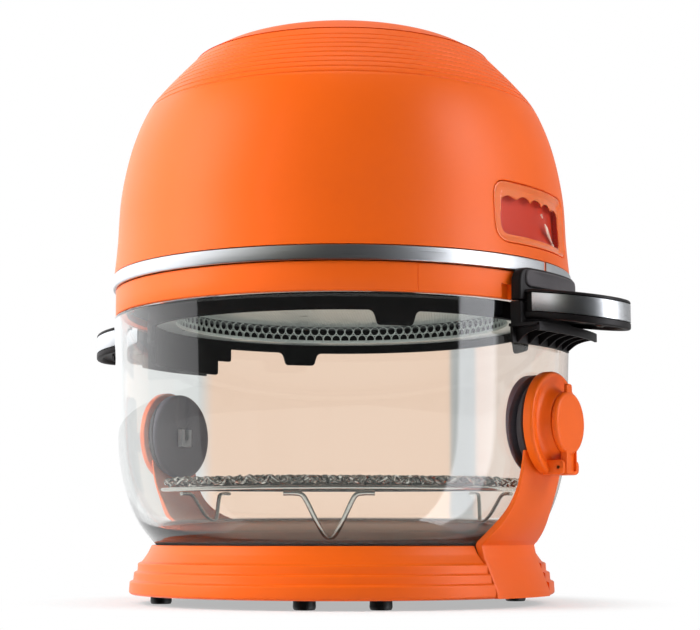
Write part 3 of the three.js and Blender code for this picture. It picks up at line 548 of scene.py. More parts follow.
GLASS_RIPPLE = 70
# Heights, in millimetres, of the glass's foot that is painted an opaque dark grey.
GLASS_PAINTED_FOOT = (33, 37.5)


def clear_glass(name, colour):
    """Blown borosilicate glass: clear, with a faint grey-green in its thick edges and slow ripples. Lamp
    light passes straight through, so what is inside looks as bright as what is outside. The thick foot is
    painted an opaque dark grey: a painted view through the glass, standing in for the dark seat under it."""
    made, tree, shader, place = new_material(
        name, colour, Roughness=0.0, IOR=1.47, Transmission_Weight=1.0,
    )
    ripple = add_node(tree, "ShaderNodeTexNoise", {
        "Vector": place, "Scale": pattern_scale(GLASS_RIPPLE), "Detail": 0.0,
    })
    bump = add_node(tree, "ShaderNodeBump", {
        "Height": ripple.outputs["Fac"], "Strength": 0.25, "Distance": 0.3 * MM,
    })
    tree.links.new(bump.outputs["Normal"], shader.inputs["Normal"])
    apart = add_node(tree, "ShaderNodeSeparateXYZ", {"Vector": place})
    low = add_node(tree, "ShaderNodeMapRange", {
        "Value": apart.outputs["Z"], "From Min": GLASS_PAINTED_FOOT[0] * MM, "From Max": GLASS_PAINTED_FOOT[1] * MM,
        "To Min": 0.95, "To Max": 0.0,
    }, interpolation_type="SMOOTHSTEP")
    # Painted view through the glass: an opaque dark grey on the foot stands in for the dark seat seen under it.
    seat = add_node(tree, "ShaderNodeBsdfPrincipled", {
        "Base Color": (0.08, 0.09, 0.09, 1), "Roughness": 0.3, "Specular IOR Level": 0.2,
    })
    body = add_node(tree, "ShaderNodeMixShader", {
        0: low.outputs["Result"], 1: shader.outputs[0], 2: seat.outputs[0],
    })
    rays = add_node(tree, "ShaderNodeLightPath")
    lighting = add_node(tree, "ShaderNodeMath", {
        0: rays.outputs["Is Shadow Ray"], 1: rays.outputs["Is Diffuse Ray"],
    }, operation="MAXIMUM")
    passing = add_node(tree, "ShaderNodeBsdfTransparent", {"Color": (0.95, 0.96, 0.955, 1)})
    both = add_node(tree, "ShaderNodeMixShader", {
        0: lighting.outputs[0], 1: body.outputs[0], 2: passing.outputs[0],
    })
    tree.links.new(both.outputs[0], tree.nodes["Material Output"].inputs["Surface"])
    return made


def thin_lens(name, gloss):
    """Clear acrylic too thin to bend the light: it shows what is under it, with a weak shine."""
    made, tree, shader, _ = new_material(name, (1, 1, 1), Roughness=0.08, Metallic=1.0)
    passing = add_node(tree, "ShaderNodeBsdfTransparent")
    both = add_node(tree, "ShaderNodeMixShader", {0: gloss, 1: passing.outputs[0], 2: shader.outputs[0]})
    tree.links.new(both.outputs[0], tree.nodes["Material Output"].inputs["Surface"])
    return made


def card_with_painted_glow(name, colour):
    """Printed card behind the display: a flat dark red with a faint painted glow of its own colour, painted
    light that brightens it in the shade of its well.
    """
    # Painted light: the emission makes the card glow faintly though it is no lamp.
    return new_material(name, colour, Roughness=0.4, Specular_IOR_Level=0.2, Emission_Color=(*colour, 1),
                        Emission_Strength=0.06)[0]


def lit_acrylic(name, colour):
    """Tinted acrylic frame: glossy and faintly translucent, so its edges look paler than its body."""
    return grained(name, colour, 4.0, 0.004, 30, 0.05, Roughness=0.2, IOR=1.49, Subsurface_Weight=0.25,
                   Subsurface_Scale=0.002)


class FryerFinishes(PropertyGroup):
    """The colours that a user would change."""

    shell: FloatVectorProperty(name="Shell", description="Orange moulded ABS", subtype="COLOR",
                               default=linear("F1630F"), min=0, max=1)
    handle: FloatVectorProperty(name="Handle", description="Black nylon", subtype="COLOR",
                                default=linear("151112"), min=0, max=1)
    thumb_pad: FloatVectorProperty(name="Thumb pad", description="Grey elastomer", subtype="COLOR",
                                   default=linear("3F3A3D"), min=0, max=1)
    disc: FloatVectorProperty(name="Spit disc", description="Dark grey nylon", subtype="COLOR",
                              default=linear("57515A"), min=0, max=1)
    socket: FloatVectorProperty(name="Spit socket", description="Pale acetal", subtype="COLOR",
                                default=linear("B9B9BB"), min=0, max=1)
    steel: FloatVectorProperty(name="Steel", description="Stainless steel", subtype="COLOR",
                               default=linear("C6C8CA"), min=0, max=1)
    frame: FloatVectorProperty(name="Display frame", description="Tinted acrylic", subtype="COLOR",
                               default=linear("F07434"), min=0, max=1)
    window: FloatVectorProperty(name="Display window", description="Dark red card", subtype="COLOR",
                                default=linear("C0321A"), min=0, max=1)


class FryerSizes(PropertyGroup):
    """The fine detail that a user would change."""

    rib_pitch: FloatProperty(name="Rib pitch", description="Distance between the dome's grooves",
                             default=3.4 * MM, min=1 * MM, max=10 * MM, unit="LENGTH")
    rib_depth: FloatProperty(name="Rib depth", description="Depth of the dome's grooves", default=0.45 * MM,
                             min=0, max=2 * MM, unit="LENGTH")
    weave_pitch: FloatProperty(name="Weave pitch", description="Distance between the rack's wires",
                               default=7 * MM, min=4 * MM, max=20 * MM, unit="LENGTH")
    weave_wire: FloatProperty(name="Weave wire", description="Radius of the rack's wires", default=0.9 * MM,
                              min=0.3 * MM, max=2 * MM, unit="LENGTH")
    guard_pitch: FloatProperty(name="Guard pitch", description="Distance between the guard's holes",
                               default=3.3 * MM, min=2.5 * MM, max=10 * MM, unit="LENGTH")


def finishes():
    """The materials by name, made once from the scene's colours."""
    if not MATERIALS:
        hues = bpy.context.scene.fryer_finishes
        MATERIALS.update({
            "shell": gloss_abs("Moulded ABS orange", hues.shell),
            "black": textured_nylon("Moulded nylon black", hues.handle, 0.5, 0.3),
            "liner": textured_nylon("Moulded nylon heatproof", linear("060606"), 0.6, 0.15),
            "pad": soft_elastomer("Elastomer grey", hues.thumb_pad),
            "disc": textured_nylon("Moulded nylon grey", hues.disc, 0.42),
            "socket": textured_nylon("Turned acetal", hues.socket, 0.4),
            "rubber": moulded_silicone("Silicone rubber black", linear("1A1A1B")),
            "seat": moulded_silicone("Silicone seat", linear("2A2B2C")),
            "band": brushed_steel("Brushed stainless band", hues.steel, 0.36),
            "trim": brushed_steel("Brushed stainless trim", hues.steel, 0.32, level=False),
            "wire": drawn_steel("Drawn stainless wire", linear("C9C6BE"), 0.14),
            "sheet": drawn_steel("Rolled steel sheet", linear("A9ABAD"), 0.35),
            "guard": pressed_aluminium("Pressed aluminium", linear("CDD2CE")),
            "magnet": drawn_steel("Nickel-plated magnet", linear("A7A39A"), 0.25),
            "element": drawn_steel("Heater sheath", linear("6A6560"), 0.45),
            "glass": clear_glass("Borosilicate glass", linear("FAFCFB")),
            "lens": thin_lens("Acrylic lens", 0.008),
            "frame": lit_acrylic("Tinted acrylic", hues.frame),
            "card": card_with_painted_glow("Printed card", hues.window),
            "ink": textured_nylon("Cream ink", linear("F6D9C6"), 0.5),
            "board": textured_nylon("Lacquered board", linear("2D5B3C"), 0.4),
        })
    return MATERIALS


MATERIALS = {}


# ---------------------------------------------------------------- base
def softened(corners, radius=0.8):
    """A turned profile whose corners are moulded round."""
    return rounded(corners, radius, 4)


def skirt_half():
    """Half the base's skirt. At radius r it runs between the angles where x is the slot's half width."""
    profile = softened(SKIRT_OUTER, 0.7)
    start = np.arcsin(SLOT_HALF_WIDTH / profile[:, 0])
    t = np.linspace(0, 1, 110)[:, None]
    a = -np.pi / 2 + start + (np.pi - 2 * start) * t
    r, h = profile.T
    return grid(r * np.cos(a), r * np.sin(a), h + 0 * a, wrap=(False, True), capped=True)


def mirrored(part):
    """The same part with left and right exchanged."""
    points, blocks = part
    return points * [-1, 1, 1], [block[:, ::-1] for block in blocks]


def foot(node):
    """A rubber foot: a short round post with a soft lower edge, where the CAD node stands."""
    x, y, z = (sum(extent(node, axis)) / 2 for axis in "xyz")
    radius, high = 6.1, 2 * z
    profile = softened([(0, 0), (radius - 0.6, 0), (radius, 1.4), (radius - 0.2, high), (0, high)], 0.5)
    points, blocks = turned(profile, 40)
    return points + [x, y, 0], blocks


class FRYER_OT_base(Operator):
    """Builds the stepped skirt, its ledge, the bowl's seat and the rubber feet"""

    bl_idname = "fryer.base"
    bl_label = "Base"

    def execute(self, context):
        look = finishes()
        ledge = turned(soft_rectangle(96, 114.5, 20.4, 23, 0.5, 4))
        half = skirt_half()
        piece("base_skirt", [half, mirrored(half), ledge], look["shell"], "base", ["base_shell"])
        seat = softened([
            (0, 26.2), (88, 26.3), (98.3, 27.3), (107.7, 33), (108.7, 33), (109.6, 29.6), (100, 24.4),
            (88, 23.4), (0, 23.4),
        ], 0.4)
        piece("silicone_seat", [turned(seat)], look["seat"], "base", ["bowl_seat"])
        feet = [name for name in sorted(frame["nodes"]) if name.startswith("foot_")]
        for name in feet:
            piece(f"rubber_{name}", [foot(name)], look["rubber"], "base", [name])
        paint(["base_floor"], look["black"])
        return {"FINISHED"}


# ---------------------------------------------------------------- arms and drive
def arm_plate():
    """An arm: at each height z a soft-edged bar of half width w(z) between two radii, wrapped round the bowl.
    w narrows from the foot panel to the neck along the panel's own curve."""
    t = np.linspace(0, 1, 40)
    flare_z = 31 * (1 - t) ** 3 + 126 * (1 - t) ** 2 * t + 138 * (1 - t) * t**2 + 62 * t**3
    spread = (1 - t) ** 3 + 3 * (1 - t) ** 2 * t
    z = np.concatenate([[BASE_LOW, BASE_LOW + 0.3], np.linspace(BASE_LOW + 1, NECK_TOP, 90)])[:, None]
    width = ARM_HALF_WIDTH + (PANEL_HALF_WIDTH - ARM_HALF_WIDTH) * np.interp(z, flare_z, spread)
    bowl = spline(BOWL_OUTER, 80)
    beside, outside = shrink(bowl, ARM_GAP), shrink(bowl, 4.8)
    upper = [points[(points[:, 1] > 34.5) & (points[:, 1] < 120)] for points in (beside, outside)]
    feet = [
        np.array([(110.2, 33.6), (112.4, 27), (116.4, 17), (120.6, 5.3)]),
        np.array([(114.3, 33.6), (115.6, 27), (119.6, 18), (123.2, 8.6), (123.7, 5.3)]),
    ]
    inner, outer = (radius_at(np.vstack(pair), z) for pair in zip(upper, feet))
    inner = inner + 2.4 * np.clip((z - 45) / 20, 0, 1)
    bar = resample(soft_rectangle(-ARM_HALF_WIDTH, ARM_HALF_WIDTH, 0, ARM_WALL, 0.9), 150)
    ends = np.ones_like(z)
    ends[0] = 0.97
    x = bar[:, 0] / ARM_HALF_WIDTH * width * ends
    radius = inner + bar[:, 1] / ARM_WALL * (outer - inner)
    return grid(*on_wall(x, z + 0 * x, radius), wrap=(False, True), capped=True)


def hinge_ear(x):
    """One ear of the cap's hinge: a plate with a round nose about the pin."""
    side = resample(soft_rectangle(
        -PIN_REACH - 3.1, -PIN_REACH + 9.3, TONGUE_LOW + 0.2, PIN_HEIGHT + 4, [2.8, 0.3, 0.3, 2.8],
    ), 60)
    return slab(side, x - 1.25, x + 1.25, 0.35, from_side, fill=3)


def arm_head(front):
    """The head: a deep flat rim, a hollow ring inside it, and a boss for the motor or a closed dome."""
    rim = [(23.5, 134.6), (HEAD_RADIUS, 134.6), (HEAD_RADIUS, 139.3), (27.6, 140.4), (26.2, 140.4),
           (25, 139.9)]
    if front:
        rest = [(23.2, 139.2), (21.4, 139.2), (19.6, 140.2), (18.2, 142.2), (17, 145.6), (14.4, 145.6),
                (14.4, 138.4), (23.5, 138.4)]
        return about_spit(rounded(rim + rest, 0.8, 5))
    rest = [(22.2, 141.2), (18, 141.9), (8, 142.4), (0, 142.5), (0, 140.4), (2.2, 140.4), (2.2, 138.4),
            (23.5, 138.4)]
    return about_spit(np.vstack([rounded(rim, 0.8, 5)[4:], np.array(rest), [(23.5, 134.6)]]))


def glass_side_puck():
    """The puck between the head and the glass: a wide rim on the glass and a narrower neck under the head.
    Its back follows the bowl, and its outline is cut level above the arm's neck."""
    a = np.linspace(0, 2 * np.pi, 160, endpoint=False)
    rim = np.stack([25.4 * np.cos(a), np.maximum(25.4 * np.sin(a), -23.4)], -1)
    back = np.linspace(0, 1, 16)
    share = np.concatenate([back, [1, 0.975, 0.9, 0.86, 0.86], np.linspace(0.86, 0, 9)])[:, None]
    reach = np.concatenate([[0] * 16, [132, 132.6, 132.8, 133, 134.3], [134.3] * 9])[:, None]
    x, z = share * rim[:, 0], SPIT_HEIGHT + share * rim[:, 1]
    wall = radius_at(shrink(spline(BOWL_OUTER, 80), ARM_GAP), z)
    glass = np.sqrt(wall**2 - x**2)
    return grid(x, -np.maximum(reach, glass + 0.15 * (reach > 0)), z, wrap=(False, True))


def flip_cap():
    """The lid with its pull tab, and a tongue down to the pin with a pocket in its face."""
    lid = about_spit(rounded([
        (0, CAP_FACE - 0.1), (15.6, CAP_FACE - 0.1), (17.2, CAP_FACE - 1.3), (17.2, CAP_FACE - 3.5),
        (12, CAP_FACE - 3.5), (12, CAP_FACE - 2), (0, CAP_FACE - 2),
    ], [0, 1.2, 1, 0.4, 0.3, 0.3, 0], 5), closed=False)
    tab = slab(rectangle(-3.1, 3.1, SPIT_HEIGHT + 14, SPIT_HEIGHT + 21.4, 2.2, 48), CAP_FACE - 3,
               CAP_FACE - 0.9, 0.5, in_front, fill=3)
    w = TONGUE_HALF_WIDTH
    face = rectangle(-w, w, TONGUE_LOW + 0.1, SPIT_HEIGHT - 13, 2, 160)
    pocket = matched(rectangle(-1.5, 5, PIN_HEIGHT - 2, PIN_HEIGHT + 9, 0.5, 160), face)
    out, back = CAP_FACE - 0.15, CAP_FACE - 3.5
    rings = [(toward(face, t), back) for t in (0, 0.5, 1)]
    rings += [(face, out - 0.5), (shrink(face, 0.15), out - 0.15), (shrink(face, 0.5), out)]
    rings += [(shrink(face, 0.5) + (pocket - shrink(face, 0.5)) * t, out) for t in (0.5, 1)]
    rings += [(pocket, out - 1.4)] + [(toward(pocket, t), out - 1.4) for t in (0.5, 0)]
    knuckle = across(soft_rectangle(1.3, 2.3, -w, w, 0.2), PIN_REACH, PIN_HEIGHT)
    return [lid, tab, layers(rings, in_front), knuckle]


class FRYER_OT_arms(Operator):
    """Builds both arms with their heads, hinge ears and black pucks, and finishes the magnet rotors"""

    bl_idname = "fryer.arms"
    bl_label = "Arms"

    def execute(self, context):
        look = finishes()
        for end, turn in ENDS:
            ears = [hinge_ear(-8.25), hinge_ear(8.25)] if end == "front" else []
            piece(f"{end}_arm_shell", [arm_plate(), arm_head(end == "front"), *ears], look["shell"],
                  "base", [f"{end}_arm"], turn)
            piece(f"{end}_puck", [glass_side_puck()], look["pad"], "base", [f"{end}_arm_cover"],
                  turn)
        paint(["front_magnet_rotor", "rear_magnet_rotor"], look["magnet"])
        paint(["drive_motor"], look["sheet"])
        return {"FINISHED"}


class FRYER_OT_flip_cap(Operator):
    """Builds the cap over the spit drive's motor, and its hinge pin"""

    bl_idname = "fryer.flip_cap"
    bl_label = "Flip cap"

    def execute(self, context):
        look = finishes()
        piece("flip_cap", flip_cap(), look["shell"], "drive_cap", ["drive_cap"])
        half = PIN_HALF_LENGTH
        pin = across(soft_rectangle(0, 1.2, -half, half, [0, 0.3, 0.3, 0]), PIN_REACH, PIN_HEIGHT, 20)
        piece("cap_pin", [pin], look["sheet"], "base", ["cap_hinge_pin"])
        return {"FINISHED"}


# ---------------------------------------------------------------- bowl and spit holders
def bowl_profile():
    """The bowl's wall: its outside from the middle up, a fire-polished rim, and its inside back down."""
    outer = spline(BOWL_OUTER, 70)[::-1]
    inner = spline(BOWL_INNER, 70)
    a = np.linspace(0, np.pi, 9)[1:-1]
    rim = np.stack([132 + 2 * np.cos(a), BOWL_TOP - 1.2 + 1.2 * np.sin(a)], -1)
    outer[-1] = (134, BOWL_TOP - 1.2)
    inner[0] = (130, BOWL_TOP - 1.2)
    floor = np.linspace(0, 1, 6)[:-1, None]
    under = np.hstack([floor * 88, 27 + 0 * floor])
    return np.vstack([under, outer, rim, inner, np.hstack([82 * (1 - floor), 33 + 0 * floor]), [(0, 33)]])


def holder_disc():
    """A spit holder's disc: flat and soft-edged inside, with a shallow channel from its rim to its bore, and
    curved to the glass behind."""
    a = np.linspace(0, 2 * np.pi, 192, endpoint=False)
    radii = np.array([6.2, 6.6, 8, 12, 18, 24, 25.2, 26.2, 26.8, 27, 27])
    sink = np.array([0.3, 0, 0, 0, 0, 0, 0.1, 0.5, 1.2, 2, 3])
    x = radii[:, None] * np.cos(a)
    z = SPIT_HEIGHT + radii[:, None] * np.sin(a)
    channel = np.clip((5 - np.abs(x)) / 0.5, 0, 1) * (z > SPIT_HEIGHT) * 0.9
    face = 121.2 + np.maximum(sink[:, None], channel)
    wall = radius_at(shrink(spline(BOWL_INNER, 80), -0.6), z)
    back = np.sqrt(wall**2 - x**2)
    bore = np.full((1, a.size), 125.2)
    rows_x, rows_z = (np.vstack([rows[:1], rows, rows[::-1], rows[:1]]) for rows in (x, z))
    return grid(rows_x, -np.vstack([bore, face, back[::-1], bore]), rows_z, wrap=(True, True))


def spit_claw():
    """The socket's claw: a square block with a slot that opens upward for the spit's end."""
    claw = resample(rounded([
        (-4.8, -6), (4.8, -6), (4.8, 5), (1.7, 5), (1.7, -1.8), (-1.7, -1.8), (-1.7, 5), (-4.8, 5),
    ], [0.8, 0.8, 0.6, 0.5, 1.2, 1.2, 0.5, 0.6], 5), 140)
    return slab(claw + [0, SPIT_HEIGHT], 122, 118, 0.35, in_front, centre=(0, SPIT_HEIGHT - 4), fill=2)


class FRYER_OT_bowl(Operator):
    """Builds the glass bowl"""

    bl_idname = "fryer.bowl"
    bl_label = "Glass bowl"

    def execute(self, context):
        piece("clear_bowl", [turned(bowl_profile(), 256, closed=False)], finishes()["glass"], "bowl",
              ["glass_bowl"], crease=60)
        return {"FINISHED"}


class FRYER_OT_spit_holders(Operator):
    """Builds the two magnetic spit holders and their turning sockets"""

    bl_idname = "fryer.spit_holders"
    bl_label = "Spit holders"

    def execute(self, context):
        look = finishes()
        for end, turn in ENDS:
            piece(f"{end}_disc", [holder_disc()], look["disc"], "bowl", [f"{end}_holder_disc"],
                  turn)
            piece(f"{end}_claw", [spit_claw()], look["socket"], f"{end}_socket", [f"{end}_spit_socket"],
                  turn)
            hub = about_spit(soft_rectangle(0, 5.9, 121.3, 124.8, [0, 0.3, 0.3, 0]), 64)
            piece(f"{end}_hub", [hub], look["disc"], f"{end}_socket", turn=turn)
        return {"FINISHED"}


# ---------------------------------------------------------------- rack
def woven_wires(pitch, wire, across_x):
    """Crimped wires of one direction: each is a wave of one pitch up and down, out of step with the next, and
    ends inside the rim. A coarse wave bends the whole sheet as hand-crimped mesh does."""
    count = int(RACK_RADIUS / pitch)
    offsets = (np.arange(-count, count + 1)) * pitch
    reach = np.sqrt(np.maximum((RACK_RADIUS - 1.5) ** 2 - offsets**2, 1))
    parts = []
    for number, (offset, length) in enumerate(zip(offsets, reach)):
        steps = max(int(length * 2 / pitch * 7), 8)
        t = np.linspace(-length, length, steps)
        swing = (1 if across_x else -1) * (-1) ** number
        low = RACK_HEIGHT + ROD_RADIUS + wire
        z = low + 2.2 + swing * 1.9 * np.cos(np.pi * t / pitch) + 0.35 * np.sin(t / 9 + offset)
        sway = offset + 1.2 * np.sin(np.pi * t / pitch + offset)
        path = np.stack([t, sway, z] if across_x else [sway, t, z], -1)
        parts.append(tube(path, wire, (0, 0, 1), 6))
    return parts


def rack_leg():
    """One leg: a rod with flat ends welded under the rim and a round V down to the bowl's floor."""
    top = RACK_HEIGHT - 2 * ROD_RADIUS - 0.4
    low = 33 + 4.2
    half = [(0, low), (3, low + 1.7), (6.4, low + 8), (11.8, top - 4.4), (14.4, top - 0.8), (18.5, top),
            (24, top)]
    path = spline([(-x, z) for x, z in half[:0:-1]] + half, 120)
    lean = 96.5 + (RACK_RADIUS - 2 - 96.5) * (path[:, 1] - low) / (top - low)
    return tube(np.stack([path[:, 0], -lean, path[:, 1]], -1), ROD_RADIUS, (0, 1, 0), 14)


class FRYER_OT_rack(Operator):
    """Builds the rack: its rod rim, the crimped woven mesh and three wire legs"""

    bl_idname = "fryer.rack"
    bl_label = "Rack"

    def execute(self, context):
        look = finishes()
        sizes = context.scene.fryer_sizes
        pitch, wire = sizes.weave_pitch / MM, sizes.weave_wire / MM
        a = np.linspace(0, 2 * np.pi, 200, endpoint=False)
        ring = np.stack([RACK_RADIUS * np.cos(a), RACK_RADIUS * np.sin(a), RACK_HEIGHT + 0 * a], -1)
        rim = tube(ring, ROD_RADIUS, (0, 0, 1), 16, closed=True)
        piece("rack_rod_rim", [rim], look["wire"], "rack", ["rack_rim"])
        wires = woven_wires(pitch, wire, True) + woven_wires(pitch, wire, False)
        piece("woven_mesh", wires, look["wire"], "rack", ["rack_mesh"], crease=60)
        for number, angle in enumerate((-150, -30, 90), 1):
            piece(f"wire_leg_{number}", [rack_leg()], look["wire"], "rack", [f"rack_leg_{number}"],
                  angle + 90)
        return {"FINISHED"}


# ---------------------------------------------------------------- head
def wall_hole(outline, turn=0):
    """A hole in the dome from an outline in x and z, turned round the upright axis: it gives the outline,
    grown by a distance, as angle a = 270 + arcsin(x / r) - turn in degrees, and height."""
    def grown(distance):
        x, z = shrink(outline, -distance).T
        return np.stack([270 - turn + np.degrees(np.arcsin(x / radius_at(DOME_CURVE, z))), z], -1)

    return grown


def ribbed_dome(pitch, depth):
    """The dome's wall with holes for the display, the vent and the inlet. From RIBS_LOW up its radius is less
    by depth times a narrow valley at every pitch of height."""
    steps = np.array([-0.17, -0.12, -0.05, 0, 0.05, 0.12, 0.17, 0.5])
    ribs = (RIBS_LOW + pitch * (np.arange(int(33 / pitch))[:, None] + 0.5 + steps)).ravel()
    rows = np.concatenate([np.linspace(DOME_LOW + 0.3, RIBS_LOW - 0.4, 46), ribs[ribs < RIBS_HIGH], [317.6]])

    def place(angle, z, level):
        off = np.abs((z - RIBS_LOW) / pitch % 1 - 0.5)
        ribbed = (z > RIBS_LOW) & (z < RIBS_HIGH) & (level == 0)
        valley = depth * np.clip((0.16 - off) / 0.12, 0, 1) * ribbed
        r = radius_at(DOME_CURVE, z) - valley - level
        return np.broadcast_arrays(r * np.cos(np.radians(angle)), r * np.sin(np.radians(angle)), z)

    holes = [
        wall_hole(rectangle(-41, 41, 195.4, 230, 10, 240)),
        wall_hole(rectangle(-38, 38, 227, 259, 6, 200), 180),
        wall_hole(rectangle(-15.5, 15.5, 197, 218, 3, 120), 180),
    ]
    return holed(np.linspace(0, 360, 289), rows, holes, place, DOME_WALL)


def top_cap():
    """The smooth cap that closes the dome, with its soft lower edge."""
    outer = spline(CAP_OUTER, 40)[:-1]
    inner = shrink(np.vstack([outer, [(0, 340.5)], [(-1, 340.5)]]), 2.4)[2:-2]
    under = inner[(inner[:, 0] > 5) & (inner[:, 0] < 82) & (inner[:, 1] > 318.5)][::-1]
    edge = [(88.5, 318.2), (88, 318), (84, 318)]
    profile = np.vstack([[(0, 340.5)], outer[::-1][:-1], edge, under, [(0, 338)]])
    return turned(profile, 240, closed=False)


def ring_with_notches():
    """The lower ring: a rounded wall that steps in to carry the bright band. Beside each handle block its
    face is sunk by 2.6 between two angles from its lower edge up. A seam runs down it at two places."""
    low = [(RING_LOW, 0.5), (RING_LOW + 0.15, 0.2), (RING_LOW + 0.5, 0), (172.75, 0), (172.8, 0)]
    high = [(178.2, 0), (178.3, 0), (179.6, 0), (179.95, 0.2), (180.1, 0.5)]
    z, inset = np.array(low + high).T
    r = np.concatenate([RING_RADIUS - inset, [130.5, 130.5, 127.5, 127.5, 126.5, 126.5]])
    z = np.concatenate([z, [180.1, 188.4, 188.4, 169, 169, RING_LOW]])
    edges = [NOTCH_AZIMUTH + turn + side * NOTCH_HALF_ANGLE + shift
             for turn in (0, 180) for side in (-1, 1) for shift in (-0.01, 0.01)]
    seams = [azimuth + shift for azimuth in (-39, 141) for shift in (-0.12, -0.04, 0.04, 0.12)]
    azimuth = np.unique(np.round(np.concatenate([np.linspace(-90, 270, 361), edges, seams]), 4))[:, None]
    sunk = np.abs((azimuth - NOTCH_AZIMUTH + 90) % 180 - 90) < NOTCH_HALF_ANGLE
    line = np.abs((azimuth + 39 + 90) % 180 - 90) < 0.05
    face = np.arange(len(r)) < 10
    radius = r - 2.6 * (sunk & (z < 172.78) & face) - 0.25 * (line & face)
    turn = np.radians(azimuth - 90)
    return grid(radius * np.cos(turn), radius * np.sin(turn), z + 0 * turn, wrap=(False, True))


def half_band(turn):
    """Half of the bright band, with soft edges, that stops short of the joints at the front and the rear."""
    profile = soft_rectangle(130.9, BAND_RADIUS, BAND_LOW, BAND_HIGH, [0.2, 0.9, 0.9, 0.2])
    gap = math.degrees(1.1 / BAND_RADIUS)
    return turned(profile, 150, -90 + turn + gap, 90 + turn - gap)


def liner():
    """The black skirt inside the head: each column hangs down to the bottom edge's height at that angle. The
    edge has four tabs with sloped ends, and a stepped block behind."""
    length = 2 * np.pi * LINER_RADIUS
    at = length / 360
    edge = []
    for azimuth in (-132, -42, 48, 138):
        s = (azimuth + 180) * at
        edge += [(s - 12, LINER_LOW), (s - 9.6, TAB_LOW), (s + 9.6, TAB_LOW), (s + 12, LINER_LOW)]
    near, middle, far = (np.degrees(np.arcsin(x / 113.3)) * at for x in (21.5, 32, 56))
    start = [(0, BLOCK_LOW), (far, BLOCK_LOW), (far, LINER_LOW)]
    stop = [(middle, LINER_LOW), (middle, TAB_LOW), (near, TAB_LOW), (near, BLOCK_LOW), (0, BLOCK_LOW)]
    edge = start + edge + [(length - s, z) for s, z in stop]
    soft = [0.1, 1.2, 1.2] + [3, 1.6, 1.6, 3] * 4 + [1.2, 0.8, 0.8, 1.2, 0.1] + [0.1, 0.1]
    outline = resample(rounded(edge + [(length, 200), (0, 200)], soft, 7), 1700)
    s, low = outline.T
    outline = outline[(low < LINER_LOW + 1) & (s > 0.01) & (s < length - 0.01)]
    s, low = outline[np.argsort(outline[:, 0], kind="stable")].T[:, :, None]
    a = np.radians(s / at - 180 - 90)
    inside = LINER_RADIUS - LINER_WALL
    r = np.array([inside, inside + 0.5, LINER_RADIUS - 0.5, LINER_RADIUS, LINER_RADIUS, 127.1, 127.1, inside])
    flange = [low * 0 + h for h in (169.4, 169.4, 171.8, 171.8)]
    z = np.stack([low + 0.5, low, low, low + 0.5, *flange], -1)[:, 0]
    return grid(r * np.cos(a), r * np.sin(a), z, wrap=(True, True))


class FRYER_OT_head(Operator):
    """Builds the ribbed dome, its cap, the lower ring, the bright band and the black liner"""

    bl_idname = "fryer.head"
    bl_label = "Head shells"

    def execute(self, context):
        look = finishes()
        sizes = context.scene.fryer_sizes
        piece("ribbed_dome", ribbed_dome(sizes.rib_pitch / MM, sizes.rib_depth / MM), look["shell"], "head",
              ["dome_shell"])
        piece("smooth_cap", [top_cap()], look["shell"], "head", ["top_cap"])
        tabs = [slab(rectangle(-0.75, 0.75, BAND_LOW, BAND_HIGH, 0.3, 40), 131, 134.6, 0.3, on_wall, fill=2)]
        tabs += [(points * [-1, -1, 1], blocks) for points, blocks in tabs]
        piece("notched_ring", [ring_with_notches(), *tabs], look["shell"], "head", ["lower_ring"])
        piece("bright_band", [half_band(0), half_band(180)], look["band"], "head", ["trim_band"])
        piece("hanging_liner", [liner()], look["liner"], "head", ["inner_liner"])
        return {"FINISHED"}


# ---------------------------------------------------------------- guard and heater
def guard_wall(pitch):
    """The honeycomb wall under the guard's rim: a hexagon lattice wrapped round, with round holes."""
    count = round(2 * np.pi * GUARD_RADIUS / pitch)
    step = 2 * np.pi / count

    def place(u, v, depth):
        a = u / pitch * step
        r = GUARD_RADIUS + 1.2 - depth
        return r * np.cos(a), r * np.sin(a), GUARD_LOW + 2.8 + v * np.ones_like(r)

    return honeycomb(count, 2, pitch, pitch * 0.44, 14, 1.1, place)


class FRYER_OT_guard(Operator):
    """Builds the perforated guard with its honeycomb wall, and finishes the heater and the fans"""

    bl_idname = "fryer.guard"
    bl_label = "Guard and heater"

    def execute(self, context):
        look = finishes()
        pitch = context.scene.fryer_sizes.guard_pitch / MM
        rows = int(2 * (GUARD_RADIUS - 1) / (pitch * math.sqrt(0.75))) + 1
        span = (rows - 1) * pitch * math.sqrt(0.75) / 2
        middle = (rows // 2) * pitch + pitch / 2

        def inside(u, v):
            return np.hypot(u - middle, v - span) < GUARD_RADIUS - pitch * 0.6

        def flat(u, v, depth):
            return u - middle, v - span, GUARD_HIGH - 1.2 + depth

        disc = honeycomb(rows + 2, rows, pitch, pitch * 0.33, 6, 1.1, flat, inside)
        rim = turned(soft_rectangle(
            GUARD_RADIUS - 2.4, GUARD_RADIUS + 1.1, GUARD_HIGH - 1.3, GUARD_HIGH, 0.3,
        ), 220)
        flange = turned(rounded([
            (GUARD_RADIUS, GUARD_LOW), (111.3, GUARD_LOW), (111.3, GUARD_LOW + 1.2),
            (GUARD_RADIUS + 1.2, GUARD_LOW + 1.2), (GUARD_RADIUS + 1.2, GUARD_LOW + 2),
            (GUARD_RADIUS, GUARD_LOW + 2),
        ], 0.3), 220)
        piece("pressed_guard", [disc, guard_wall(5.6), rim, flange], look["guard"], "head", ["guard_mesh"],
              crease=50)
        paint(["heat_shield", "convection_fan", "motor_shaft", "fan_motor", "temperature_probe",
               "front_pad_spring", "rear_pad_spring"], look["sheet"])
        paint(["heater_coil"], look["element"])
        paint(["cooling_fan", "power_inlet"], look["black"])
        paint(["control_board"], look["board"])
        return {"FINISHED"}


